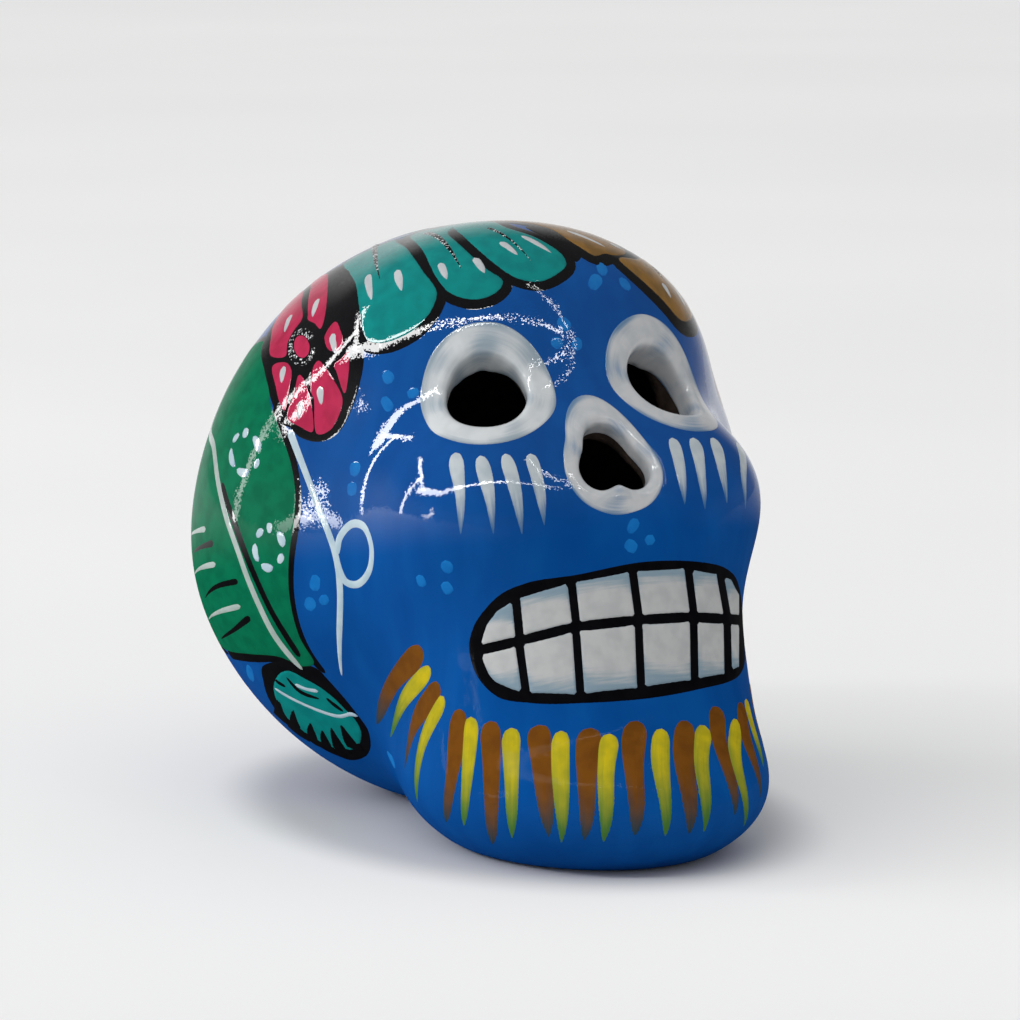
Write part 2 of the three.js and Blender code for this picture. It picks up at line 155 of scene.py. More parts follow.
def slope(field, points, reach=0.05):
    """Way in which a field grows fastest."""
    steps = reach * np.eye(3)
    return np.stack([field(points + step) - field(points - step) for step in steps], -1) / (2 * reach)


def halved(holds, near, far, rounds):
    """Both ends of a span, drawn together on the place up to which a test holds."""
    for _ in range(rounds):
        middle = (near + far) / 2
        held = holds(middle)
        near = np.where(held, middle, near)
        far = np.where(held, far, middle)
    return near, far


def skin(directions, lift=0.0):
    """Points on rays from the heart that lie lift millimetres off the clay."""
    directions = unit(directions)

    def at(reach):
        return HEART + directions * reach[..., None]

    start = np.zeros(directions.shape[:-1])
    return at(halved(lambda reach: clay(at(reach)) < lift, start, start + SKIN_REACH, SKIN_ROUNDS)[0])


def placed(turns_and_rises):
    """Points on the skin by direction from the heart."""
    turn, rise = np.asarray(turns_and_rises, float).T
    return skin(aim(turn, rise))


def seen(pixels):
    """Points on the skin that the photograph's pixels look at, or pass closest to."""
    pixels = np.asarray(pixels, float)
    half = IMAGE / 2
    rays = unit(-BACK * FOCAL + RIGHT * (pixels[:, :1] - half) + UP * (half - pixels[:, 1:]))
    depths = np.arange(*SEEN_DEPTHS)
    field = clay(EYE + rays[:, None] * depths[:, None])
    hit = (field < 0).any(1)
    index = np.where(hit, (field < 0).argmax(1), field.argmin(1))

    def at(depth):
        return EYE + rays * depth[:, None]

    far = halved(lambda depth: clay(at(depth)) > 0, depths[index - 1], depths[index], SEEN_ROUNDS)[1]
    return skin(at(far) - HEART)


def smooth(points, step, closed=False):
    """A soft curve through the points, sampled about every step."""
    points = np.asarray(points, float)
    if closed:
        padded = np.vstack((points[-1:], points, points[:2]))
    else:
        padded = np.vstack((2 * points[0] - points[1], points, 2 * points[-1] - points[-2]))
    curve = []
    for a, b, c, d in zip(padded, padded[1:], padded[2:], padded[3:]):
        count = max(2, math.ceil(np.linalg.norm(c - b) / step))
        gaps = [np.linalg.norm(end - start) ** 0.5 + LEAST_KNOT for start, end in ((a, b), (b, c), (c, d))]
        knots = [0, *np.cumsum(gaps)]
        t = np.linspace(knots[1], knots[2], count, endpoint=False)[:, None]
        blends = [a, b, c, d]
        for spans in KNOT_SPANS:
            pairs = zip(spans, blends, blends[1:])
            blends = [((knots[j] - t) * p + (t - knots[i]) * q) / (knots[j] - knots[i]) for (i, j), p, q in pairs]
        curve += blends
    if not closed:
        curve.append(points[-1:])
    return np.vstack(curve)


def soft_max(a, b, softness):
    """The larger of two fields, rounded over where they meet."""
    near = np.maximum(softness - np.abs(a - b), 0) / softness
    return np.maximum(a, b) + near * near * softness / 4


def oval(size, corners=0.0, peak=0.0, corner=(0.0, 0.0)):
    """Polar radius of an oval, drawn out to three rounded corners, to a peak at its top and to one corner more."""
    def radius(angle):
        plain = 1 / np.hypot(np.cos(angle) / (size[0] / 2), np.sin(angle) / (size[1] / 2))
        away = np.angle(np.exp(1j * (angle - corner[0])))
        drawn = plain + corner[1] * np.exp(-((away / RING_CORNER_SPREAD) ** 2))
        return drawn - corners * np.sin(3 * angle) + peak * np.maximum(0, np.sin(angle)) ** PEAK_SHARPNESS
    return radius


class Socket:
    """A hole in the clay with its painted ring."""

    def __init__(self, place, facing, hole, ring, shift):
        self.middle = placed([place])[0]
        self.out = aim(*facing)
        self.right = aim(facing[0] + 90, 0)
        self.up = np.cross(self.out, self.right)
        self.hole = hole
        self.ring = ring
        self.shift = shift

    def bore(self, points):
        """Above zero inside the hole."""
        offset = points - self.middle
        x, y = offset @ self.right - self.shift[0], offset @ self.up - self.shift[1]
        wide = self.hole(np.arctan2(y, x)) - np.hypot(x, y)
        return np.minimum(wide, offset @ self.out + BORE_DEPTH)

    def on_skin(self, angle, radius):
        """The skin seen along the hole, at a place round its middle."""
        across = np.cos(angle)[:, None] * self.right + np.sin(angle)[:, None] * self.up

        def at(level):
            return self.middle + across * radius[:, None] + level[:, None] * self.out

        reach = np.full(len(angle), SOCKET_REACH)
        return at(halved(lambda level: clay(at(level)) < 0, -reach, reach, SOCKET_ROUNDS)[0])


SOCKETS = {
    "right_eye": Socket(
        (-EYE_PLACE[0], EYE_PLACE[1]),
        (-EYE_FACING[0], EYE_FACING[1]),
        oval(EYE_HOLE),
        oval(EYE_RING, corner=RIGHT_EYE_CORNER),
        EYE_SHIFT,
    ),
    "left_eye": Socket(EYE_PLACE, EYE_FACING, oval(EYE_HOLE), oval(EYE_RING, corner=LEFT_EYE_CORNER), EYE_SHIFT),
    "nose": Socket(
        NOSE_PLACE,
        NOSE_FACING,
        oval(NOSE_HOLE, NOSE_CORNERS[0]),
        oval(NOSE_RING, NOSE_CORNERS[1], NOSE_RING_PEAK),
        NOSE_SHIFT,
    ),
}


def body(points):
    """The hollow skull with its holes and its flat base: below zero in the clay."""
    outside = clay(points)
    field = outside
    for socket in SOCKETS.values():
        field = soft_max(field, socket.bore(points), LIP_SOFTNESS)
    hollow = -np.maximum(outside + WALL, WALL - points[..., 2])
    field = soft_max(field, hollow, HOLLOW_SOFTNESS)
    return soft_max(field, -points[..., 2], BASE_SOFTNESS)


# Varnish: how far it levels the edges of paint, its facets, where it gets thicker, and its gloss
LEVELLING = 0.8
VARNISH_GRAIN = 4300
VARNISH_PATCHES = 260
SMOOTH_VARNISH = (0.012, 0.055)
RIDGED_VARNISH = (0.1, 0.3)
VARNISH_UP = (0.0, 0.2, 1.0)
VARNISH_RISE = (0.041, 0.053)
VARNISH_WEIGHT = (0.02, 0.9)
VARNISH_ROUGHNESS = 0.03
VARNISH_IOR = 1.8
LEAF_GLOSS = 0.3

# Paint: tones in screen values, grain of its clouds and streaks, and the spans of noise that blend its tones
COAT_TONES = ((8, 74, 146), (12, 83, 158), (5, 65, 136))
COAT_CLOUDS = 55
COAT_STRETCH = (260, 260, 45)
COAT_STREAKS = 0.35
PAINT_CLOUDS = 0.35
PAINT_STRETCH = (0.12, 2.0, 1.0)
PAINT_ROUGHNESS = 0.6
BRUSH_RELIEF = 0.000008
# Painted highlights on ridged ink: grain of the glint cells, and the span that turns them near white
GLINT_GRAIN = 4300
GLINT_SPAN = (0.8, 0.82)
# Clay inside the hollow: a brown darkened to near black, painted shade
SHADED_CLAY_TONES = ((46, 36, 31), (70, 54, 44))
CLAY_GRAIN = 420
CLAY_ROUGHNESS = 0.95
CLAY_RELIEF = 0.0002
WIDE_SPAN = (0.25, 0.75)
EVEN_SPAN = (0.3, 0.7)
HIGH_SPAN = (0.35, 0.7)


def srgb(red, green, blue):
    """A colour in screen values, as the linear one that a shader takes."""
    values = np.array((red, green, blue)) / 255
    linear = np.where(values <= 0.04045, values / 12.92, ((values + 0.055) / 1.055) ** 2.4)
    return (*linear.tolist(), 1.0)


class Nodes:
    """A tree of shader nodes under construction."""

    def __init__(self, tree, shader):
        self.tree = tree
        self.shader = tree.nodes[shader]

    def node(self, kind, inputs=(), **settings):
        """A node with its settings, and its inputs as numbers or as links from other nodes."""
        made = self.tree.nodes.new(kind)
        for name, value in settings.items():
            setattr(made, name, value)
        for name, value in dict(inputs).items():
            self.feed(made.inputs[name], value)
        return made

    def feed(self, socket, value):
        if isinstance(value, bpy.types.NodeSocket):
            self.tree.links.new(value, socket)
        else:
            socket.default_value = value

    def set(self, **inputs):
        """Inputs of the shader itself, with _ for a space."""
        for name, value in inputs.items():
            self.feed(self.shader.inputs[name.replace("_", " ")], value)

    def blend(self, factor, a, b):
        return self.node("ShaderNodeMix", {0: factor, 6: a, 7: b}, data_type="RGBA").outputs[2]

    def noise(self, vector, scale=1.0, detail=2.0, roughness=0.5):
        inputs = {"Vector": vector, "Scale": scale, "Detail": detail, "Roughness": roughness}
        return self.node("ShaderNodeTexNoise", inputs).outputs["Fac"]

    def ranged(self, value, low, high, start=0.0, end=1.0, kind="SMOOTHSTEP"):
        inputs = {"Value": value, "From Min": low, "From Max": high, "To Min": start, "To Max": end}
        return self.node("ShaderNodeMapRange", inputs, interpolation_type=kind).outputs["Result"]

    def place(self):
        return self.node("ShaderNodeTexCoord").outputs["Object"]

    def math(self, operation, *inputs):
        return self.node("ShaderNodeMath", dict(enumerate(inputs)), operation=operation).outputs[0]

    def vector(self, operation, *inputs, output="Vector"):
        return self.node("ShaderNodeVectorMath", dict(enumerate(inputs)), operation=operation).outputs[output]

    def stretched(self, vector, scale):
        return self.node("ShaderNodeMapping", {"Vector": vector, "Scale": scale}).outputs["Vector"]

    def cells(self, vector, scale):
        return self.node("ShaderNodeTexVoronoi", {"Vector": vector, "Scale": scale}).outputs["Color"]

    def watched(self):
        """One for rays that look at the background or mirror it, and zero for light."""
        path = self.node("ShaderNodeLightPath")
        mirrored_too = self.math("MAXIMUM", path.outputs["Is Camera Ray"], path.outputs["Is Glossy Ray"])
        return self.math("MAXIMUM", mirrored_too, path.outputs["Is Transmission Ray"])


class Finish(Nodes):
    """A material under construction."""

    def __init__(self, name):
        self.material = bpy.data.materials.new(name)
        self.material.use_nodes = True
        super().__init__(self.material.node_tree, "Principled BSDF")

    def own_normal(self):
        return self.node("ShaderNodeNewGeometry").outputs["Normal"]

    def relief(self, height, depth):
        return self.node("ShaderNodeBump", {"Strength": 1.0, "Distance": depth, "Height": height}).outputs["Normal"]

    def levelled(self):
        """The way that varnish faces: it evens out most of the paint's edges."""
        form = self.node("ShaderNodeAttribute", attribute_name="level").outputs["Vector"]
        form = self.node(
            "ShaderNodeVectorTransform",
            {"Vector": form},
            vector_type="NORMAL",
            convert_from="OBJECT",
            convert_to="WORLD",
        ).outputs["Vector"]
        inputs = {"Factor": LEVELLING, 4: self.own_normal(), 5: form}
        return self.node("ShaderNodeMix", inputs, data_type="VECTOR").outputs[1]

    def varnish(self, height, scatter, normal, gloss=1.0):
        """Clear gloss over all of it: soft brush relief below, and fine facets that break up its highlights."""
        place = self.place()
        rough = self.ranged(self.noise(place, VARNISH_PATCHES, detail=3.0), *HIGH_SPAN, *scatter)
        tilt = self.vector("SUBTRACT", self.cells(place, VARNISH_GRAIN), (0.5, 0.5, 0.5))
        tilt = self.node("ShaderNodeVectorMath", {0: tilt, "Scale": rough}, operation="SCALE").outputs["Vector"]
        up = self.vector("DOT_PRODUCT", place, VARNISH_UP, output="Value")
        self.set(
            Normal=self.relief(height, BRUSH_RELIEF),
            Coat_Normal=self.vector("NORMALIZE", self.vector("ADD", normal, tilt)),
            Coat_Weight=self.ranged(up, *VARNISH_RISE, *(gloss * weight for weight in VARNISH_WEIGHT)),
            Coat_Roughness=VARNISH_ROUGHNESS,
            Coat_IOR=VARNISH_IOR,
            Roughness=PAINT_ROUGHNESS,
            Specular_IOR_Level=0.0,
        )


def coat_finish():
    """The blue base coat: brushed on thinly, a little cloudy."""
    finish = Finish("blue_coat_brushed")
    plain, bright, deep = (srgb(*tone) for tone in COAT_TONES)
    place = finish.place()
    cloud = finish.ranged(finish.noise(place, COAT_CLOUDS, detail=3.0), *EVEN_SPAN)
    streak = finish.ranged(finish.noise(finish.stretched(place, COAT_STRETCH), detail=3.0), *WIDE_SPAN)
    tone = finish.blend(cloud, plain, bright)
    finish.set(Base_Color=finish.blend(finish.ranged(streak, 0.0, 1.0, 0.0, COAT_STREAKS), tone, deep))
    finish.varnish(streak, SMOOTH_VARNISH, finish.own_normal())
    return finish.material


def paint_finish(name, rich, thin, deep, streaks=0.5, cover=WIDE_SPAN, painted_glints=None, gloss=1.0):
    """Brushed paint: full where the brush left much, thin where it ran dry, streaked along the stroke."""
    finish = Finish(name)
    brush = finish.node("ShaderNodeUVMap", uv_map="brush").outputs["UV"]
    load = finish.node("ShaderNodeAttribute", attribute_name="load").outputs["Fac"]
    streak = finish.noise(finish.stretched(brush, PAINT_STRETCH), detail=4.0, roughness=0.6)
    shifted = finish.math("MULTIPLY_ADD", streak, streaks, load)
    full = finish.ranged(shifted, *(edge + streaks / 2 for edge in cover))
    cloud = finish.ranged(finish.noise(brush, PAINT_CLOUDS), *HIGH_SPAN)
    colour = finish.blend(full, srgb(*thin), finish.blend(cloud, srgb(*rich), srgb(*deep)))
    # Painted highlights: some cells turn near white, standing in for glints of light on ridged paint
    if painted_glints:
        glint_cells = finish.cells(finish.place(), GLINT_GRAIN)
        painted_glint = finish.node("ShaderNodeSeparateColor", {"Color": glint_cells}).outputs["Red"]
        colour = finish.blend(finish.ranged(painted_glint, *GLINT_SPAN), colour, srgb(*painted_glints))
    finish.set(Base_Color=colour)
    finish.varnish(streak, RIDGED_VARNISH if painted_glints else SMOOTH_VARNISH, finish.levelled(), gloss)
    return finish.material


def shaded_clay_finish():
    """Bare fired clay inside, dull; its brown is darkened to near black as painted shade of the closed hollow."""
    finish = Finish("bare_clay_painted_shade")
    speckle = finish.ranged(finish.noise(finish.place(), CLAY_GRAIN, detail=4.0), *HIGH_SPAN)
    finish.set(
        Base_Color=finish.blend(speckle, *(srgb(*tone) for tone in SHADED_CLAY_TONES)),
        Roughness=CLAY_ROUGHNESS,
        Normal=finish.relief(speckle, CLAY_RELIEF),
    )
    return finish.material


# Paints: name, three tones (full, thin and deep), streaks, loads between which they cover, colour of painted glints
# and gloss
INK_TONES = ((13, 13, 16), (16, 34, 56), (9, 9, 12), 0.3, (0.05, 0.3))
PAINTS = {
    "white_enamel": ("white_brushed", (200, 202, 204), (104, 134, 166), (186, 190, 194)),
    # Painted light: the near eye's ring gets a brighter copy of the white enamel for its lit lower part; its top is
    # thinned as painted shade
    "ring_white_lit_and_shaded": ("ring_brushed_lit_and_shaded", (213, 217, 219), (152, 167, 178), (201, 206, 209)),
    "leaf_white": ("leaf_white_brushed", (176, 188, 184), (70, 134, 108), (160, 176, 170), 0.6),
    "tooth_white": ("tooth_brushed", (190, 191, 191), (132, 154, 168), (178, 180, 181), 0.7),
    "tear_white": ("tear_brushed", (196, 204, 208), (60, 104, 152), (178, 190, 197), 0.6, (0.2, 0.85)),
    "ochre_paint": ("ochre_brushed", (118, 72, 22), (40, 66, 78), (106, 64, 21), 0.5, (0.1, 0.8)),
    "yellow_paint": ("yellow_brushed", (200, 180, 30), (72, 118, 56), (178, 164, 33), 0.4, (0.28, 1.05)),
    "teal_paint": ("teal_brushed", (12, 138, 134), (8, 92, 96), (10, 126, 124)),
    "gold_paint": ("gold_brushed", (146, 108, 52), (80, 68, 40), (122, 92, 50)),
    "pink_paint": ("pink_brushed", (190, 44, 84), (116, 24, 54), (172, 38, 74)),
    "green_paint": ("green_brushed", (10, 112, 78), (8, 70, 54), (8, 100, 70), 0.5, WIDE_SPAN, None, LEAF_GLOSS),
    "ink": ("black_brushed", *INK_TONES),
    # Ridged black ink with painted glints of near white
    "ridged_ink_painted_glints": ("black_ridged_painted_glints", *INK_TONES, (226, 228, 230)),
    "dots": ("pale_blue_brushed", (26, 118, 192), (16, 92, 172), (22, 108, 184), 0.9),
    "pale": ("pale_white_brushed", (192, 210, 218), (90, 138, 182), (174, 198, 210), 0.6),
}
FINISHES = {"blue_coat": coat_finish(), "clay": shaded_clay_finish()}
FINISHES.update((slot, paint_finish(*paint)) for slot, paint in PAINTS.items())


# Pieces
def make_piece(name, points, faces, materials, nodes=(), slot=None, indices=None, paint=None):
    """A piece of the skull; paint holds a film's load, place along the brush and the clay's own normal."""
    mesh = bpy.data.meshes.new(name)
    mesh.from_pydata((np.asarray(points) * MM).tolist(), [], faces)
    for material in materials:
        mesh.materials.append(material)
    if indices is not None:
        mesh.polygons.foreach_set("material_index", indices)
    if paint is not None:
        load, brush, level = (np.asarray(values, np.float32) for values in paint)
        mesh.attributes.new("load", "FLOAT", "POINT").data.foreach_set("value", load)
        mesh.attributes.new("level", "FLOAT_VECTOR", "POINT").data.foreach_set("vector", level.ravel())
        corners = np.empty(len(mesh.loops), np.int32)
        mesh.loops.foreach_get("vertex_index", corners)
        mesh.uv_layers.new(name="brush").data.foreach_set("uv", brush[corners].ravel())
    mesh.shade_smooth()
    mesh.update()
    piece = bpy.data.objects.new(name, mesh)
    bpy.context.scene.collection.objects.link(piece)
    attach(piece, "root")
    if nodes:
        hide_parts(*nodes)


def net(rows, columns, closed=False):
    """Four-sided faces between rows of points; a closed net joins its last row to its first."""
    index = np.arange(rows * columns).reshape(rows, columns)
    if closed:
        index = np.vstack((index, index[:1]))
    return np.stack((index[:-1, :-1], index[1:, :-1], index[1:, 1:], index[:-1, 1:]), -1).reshape(-1, 4)


def turned_in(points, faces, outward):
    """Whether faces look the other way than the clay does, on the whole."""
    a, b, c = (points[faces[:, corner]] for corner in range(3))
    return (np.cross(b - a, c - a) * outward).sum() < 0


class Marks:
    """Films of paint that make up one piece."""

    def __init__(self):
        self.points, self.faces, self.load, self.brush, self.level = [], [], [], [], []
        self.count = 0

    def add(self, top, bottom, faces, load, brush, form=clay):
        """A closed film: its top, the same points sunk below it, and walls round its rim."""
        top, bottom = top.reshape(-1, 3), bottom.reshape(-1, 3)
        level = unit(slope(form, top))
        if turned_in(top, faces, level[faces[:, 0]]):
            faces = faces[:, ::-1]
        sides = {side for a, b in zip(faces.T, np.roll(faces, -1, axis=1).T) for side in zip(a.tolist(), b.tolist())}
        rim = sorted(side for side in sides if side[::-1] not in sides)
        start, size = self.count, len(top)
        self.points += [top, bottom]
        self.faces += (start + faces).tolist() + (start + size + faces[:, ::-1]).tolist()
        self.faces += [[start + b, start + a, start + size + a, start + size + b] for a, b in rim]
        self.load += [load.ravel()] * 2
        self.brush += [brush.reshape(-1, 2)] * 2
        self.level += [level] * 2
        self.count += 2 * size

    def piece(self, name, finish, nodes=(), slot=None):
        """The films as one piece of the skull."""
        paint = np.concatenate(self.load), np.vstack(self.brush), np.vstack(self.level)
        make_piece(name, np.vstack(self.points), self.faces, [FINISHES[finish]], nodes, slot, paint=paint)


def mirrored(points):
    return np.asarray(points) * np.array((-1, 1, 1))


# How much further back the hidden side's motifs sit
HIDDEN_TURN = math.radians(7)


def set_back(points):
    """The left side's twin of points on the right side, a little further back, as the photograph hides it."""
    x, y, z = (mirrored(points) - HEART).T
    cos, sin = math.cos(HIDDEN_TURN), math.sin(HIDDEN_TURN)
    return skin(np.stack((x * cos - y * sin, x * sin + y * cos, z), -1))


# Width of a stroke along its way, as a share of its widest place
EVEN_ENDS = 0.06
LINE_ENDS = 0.03
LINE_EVEN, LINE_EXTRA, LINE_START = 0.8, 0.2, 0.12
LINE_LATE, LINE_POINT = 0.8, 0.3


def blunt(share, length):
    return np.sqrt(1 - (1 - np.minimum(share / length, 1)) ** 2)


def tapering(start, power, sharpness):
    """Round at its start, then thinner up to its tip."""
    return lambda share: blunt(share, start) * (1 - share**power) ** sharpness


tapered = tapering(0.16, 2.6, 0.95)
tear = tapering(0.2, 2, 1)
pointed = tapering(0.08, 1, 0.8)
drop = tapering(0.3, 3, 0.8)


def even(share):
    return blunt(np.minimum(share, 1 - share), EVEN_ENDS)


def pointed_line(share):
    """Full at its start, thinner and even further on."""
    ends = blunt(share, LINE_ENDS) * blunt(1 - share, LINE_ENDS)
    full = LINE_EVEN + LINE_EXTRA * np.exp(-share / LINE_START)
    return ends * full * (1 - np.maximum(0, share - LINE_LATE) / LINE_POINT)


def rounded(share):
    return np.sqrt(np.maximum(0, 1 - (2 * share - 1) ** 2))


# A stroke: steps along and across, least width, wobble, thinner edges, and offsets of its streaks
STROKE_STEP = 0.55
STROKE_COLUMNS = np.linspace(-1, 1, 9)
LEAST_HALF = 0.04
WOBBLE = 0.06
WOBBLE_WAVES = (5, 11)
EDGE_THINNING = 0.35
BRUSH_OFFSETS = (0, 50)


def stroke(marks, spine, half, shape, under, thickness, dry):
    """One pull of the brush along points on the skin; it runs dry towards its end."""
    path = smooth(spine, STROKE_STEP)
    run = np.concatenate(([0], np.cumsum(np.linalg.norm(np.diff(path, axis=0), axis=1))))
    share = run / run[-1]
    wobble = 1 + WOBBLE * np.sin(share * rng.uniform(*WOBBLE_WAVES) + rng.uniform(*PHASE))
    width = np.maximum(half * shape(share) * wobble, LEAST_HALF)
    side = unit(np.cross(np.gradient(path, axis=0), slope(clay, path)))
    across = STROKE_COLUMNS
    spread = path[:, None] + side[:, None] * (width[:, None] * across)[..., None]
    crown = (1 - across**2) * np.minimum(1, width / half * 2)[:, None]
    rays = spread - HEART
    top = skin(rays, under - SINK + (thickness + SINK) * crown)
    bottom = skin(rays, under - ROOT_DEPTH)
    load = (1 - dry * share**2)[:, None] * (1 - EDGE_THINNING * across**2)
    brush = np.stack((run[:, None] + 0 * across, width[:, None] * across), -1) + rng.uniform(*BRUSH_OFFSETS, 2)
    marks.add(top, bottom, net(*width.shape, len(across)), load, brush)


def brushed(name, finish, strokes, slot=None, nodes=()):
    """A piece of strokes, each a spine and its brush: half width, shape, layer below, thickness, dryness."""
    marks = Marks()
    for spine, *brush in strokes:
        stroke(marks, spine, *brush)
    marks.piece(name, finish, nodes, slot)


# A filled shape: steps along its edge and inside, clearances, and how its paint thins towards edge and tip
EDGE_STEP = 0.5
FILL_STEP = 1.2
INSET = 0.6
INSET_CLEAR = 0.9
FILL_CLEAR = 0.4
ROW_RISE = 0.866
SAME_POINT = 1e-5
LEAST_EDGE = 1e-12
PATCH_LOAD = (0.45, 1.4)
PATCH_FADE = (0.7, 0.45, 0.5)
SIDEWAYS = 0.7


def edge_distance(points, edge):
    """Distance of each point from a closed outline, and whether it lies inside."""
    start, end = edge, np.roll(edge, -1, axis=0)
    way = end - start
    offset = points[:, None] - start
    share = np.clip((offset * way).sum(-1) / np.maximum((way**2).sum(-1), LEAST_EDGE), 0, 1)
    gap = np.linalg.norm(offset - share[..., None] * way, axis=-1).min(1)
    y = points[:, 1:2]
    spans = (start[:, 1] > y) != (end[:, 1] > y)
    rise = np.where(np.abs(way[:, 1]) < LEAST_EDGE, LEAST_EDGE, way[:, 1])
    cross = start[:, 0] + (y - start[:, 1]) / rise * way[:, 0]
    inside = (spans & (points[:, :1] < cross)).sum(1) % 2 == 1
    return gap, inside


def edge_normals(edge):
    """Outward normals of an outline that runs anticlockwise."""
    way = unit(np.roll(edge, -1, axis=0) - np.roll(edge, 1, axis=0) + TINY)
    return np.stack((way[:, 1], -way[:, 0]), -1)


def patch(marks, outline, under, thickness, widen=0.0, grain=None, fade=None):
    """A filled shape of paint inside an outline of points on the skin."""
    axis = unit(unit(outline - HEART).mean(0))
    reference = np.array((1.0, 0, 0)) if abs(axis[0]) < SIDEWAYS else np.array((0, 1.0, 0))
    across = unit(np.cross(reference, axis))
    along = np.cross(axis, across)
    radius = np.linalg.norm(outline - HEART, axis=1).mean()

    def flat(places):
        rays = unit(places - HEART)
        return np.stack((rays @ across, rays @ along), -1) / (rays @ axis)[..., None] * radius

    edge = smooth(flat(outline), EDGE_STEP, closed=True)
    after = np.roll(edge, -1, axis=0)
    if (edge[:, 0] * after[:, 1] - edge[:, 1] * after[:, 0]).sum() < 0:
        edge = edge[::-1]
    if widen:
        edge = edge + widen * edge_normals(edge)
    inset = edge - INSET * edge_normals(edge)
    gap, inside = edge_distance(inset, edge)
    inset = inset[inside & (gap > INSET_CLEAR * INSET)]
    low, high = edge.min(0), edge.max(0)
    columns = np.arange(low[0], high[0], FILL_STEP)
    rows = np.arange(low[1], high[1], FILL_STEP * ROW_RISE)
    grid = np.array([(x + FILL_STEP / 2 * (j % 2), y) for j, y in enumerate(rows) for x in columns])
    gap, inside = edge_distance(grid, edge)
    grid = grid[inside & (gap > INSET + FILL_CLEAR * FILL_STEP)]
    size = len(edge)
    ring = [(i, (i + 1) % size) for i in range(size)]
    found = delaunay_2d_cdt([tuple(p) for p in np.vstack((edge, inset, grid))], ring, [], 1, SAME_POINT)
    points = np.array([tuple(p) for p in found[0]])
    faces = np.array([list(face) for face in found[2]])
    gap = edge_distance(points, edge)[0]
    rise = 1 - (1 - np.clip(gap / INSET, 0, 1)) ** 2
    directions = axis + (points[:, :1] * across + points[:, 1:] * along) / radius
    top = skin(directions, under - SINK + (thickness + SINK) * rise)
    bottom = skin(directions, under - ROOT_DEPTH)
    load = np.clip(PATCH_LOAD[0] + gap / PATCH_LOAD[1], 0, 1)
    if fade is not None:
        start, end = flat(fade)
        share = (points - start) @ (end - start) / ((end - start) ** 2).sum()
        depth, first, length = PATCH_FADE
        load = load * (1 - depth * np.clip((share - first) / length, 0, 1))
    if grain is None:
        way = np.linalg.svd(edge - edge.mean(0), full_matrices=False)[2][0]
    else:
        start, end = flat(grain)
        way = unit(end - start)
    brush = np.stack((points @ way, points @ np.array((-way[1], way[0]))), -1) + rng.uniform(*BRUSH_OFFSETS, 2)
    marks.add(top, bottom, faces, load, brush)


# The clay body: box and step of its samples, steps that settle them, and where its clay is bare
BODY_LOW = np.array((-48.0, -62.0, -2.0))
BODY_HIGH = np.array((48.0, 62.0, 97.0))
BODY_STEP = 0.8
BODY_BAND = 10.0
BODY_ROUNDS = 3
LEAST_SLOPE = 0.2
BARE_DEPTH = 2.4
BARE_HEIGHT = 2


def build_body():
    axes = [np.arange(low, high, BODY_STEP) for low, high in zip(BODY_LOW, BODY_HIGH)]
    values = np.stack([body(np.stack(np.meshgrid(x, *axes[1:], indexing="ij"), -1)[0]) for x in axes[0]])
    grid = openvdb.FloatGrid(BODY_BAND)
    grid.copyFromArray(np.clip(values, -BODY_BAND, BODY_BAND).astype(np.float32))
    points, quads = grid.convertToQuads(0.0)
    points = BODY_LOW + np.asarray(points, float) * BODY_STEP
    for _ in range(BODY_ROUNDS):
        way = slope(body, points)
        points = points - (body(points) / np.maximum((way**2).sum(-1), LEAST_SLOPE))[:, None] * way
    quads = np.asarray(quads, int)
    middles = points[quads].mean(1)
    if turned_in(points, quads, slope(body, middles)):
        quads = quads[:, ::-1]
    # Faces deep in the hollow take the bare clay finish, darkened there as painted shade
    bare = (clay(middles) < -BARE_DEPTH) & (middles[:, 2] > BARE_HEIGHT)
    make_piece(
        "clay_body",
        points,
        quads.tolist(),
        [FINISHES["blue_coat"], FINISHES["clay"]],
        ("face_shell", "back_shell", "seam_slip"),
        "blue_coat",
        indices=bare.astype(np.int32),
    )


# White rings round the holes: steps round and across, pivot inside the lip, thickness, and end in degrees
RIM_STEPS = 120
RIM_SWEEP = 26
RIM_PIVOT_IN = 2.2
RIM_PIVOT_DEPTH = 2.5
RIM_REACH = 9.0
RIM_ROUNDS = 24
RIM_THICKNESS = 0.32
RIM_END = 138
NOSE_RIM_END = 116

# Wavy edges of the rings, and the shares across them in which they swell
RIM_WAVES = range(3, 12)
RIM_WAVE_SIZES = (0.4, 1)
RIM_EDGE_WAVE = 0.07
EYE_RAGGED = 0.09
NOSE_RAGGED = 0.05
LIP_SHARE, LIP_RISE = 0.06, 0.25
SWELL_SHARE, SWELL_RISE, SWELL_POWER = 0.45, 0.6, 1.5
TAIL_SHARE = 0.08
DRIP_HEIGHT = 2.6
DRIP_ANGLE, DRIP_SPREAD = -math.pi / 2, 0.42
DRIP_SHARE, DRIP_LENGTH = 0.62, 0.2

# Lumps and worn places of the rings as waves round and across, their paint, and the near ring's painted shade at its
# top
RIM_LUMPS, LUMP_RISE = ((3, 5), (2, 7)), 0.2
RIM_WORN, WEAR = ((2, 3), (5, -4)), 0.5
RIM_LOAD = (0.6, 3.2)
RIM_BRUSH = (8, 7)
NEAR_RING_TOP_SHADE = 0.2


def blotches(angle, share, wave, cross):
    """Soft uneven places from zero to one, where waves round and across a ring meet."""
    first = np.sin(wave[0] * angle + wave[1] * share + rng.uniform(*PHASE))
    return 0.5 + 0.5 * first * np.cos(cross[0] * angle + cross[1] * share)


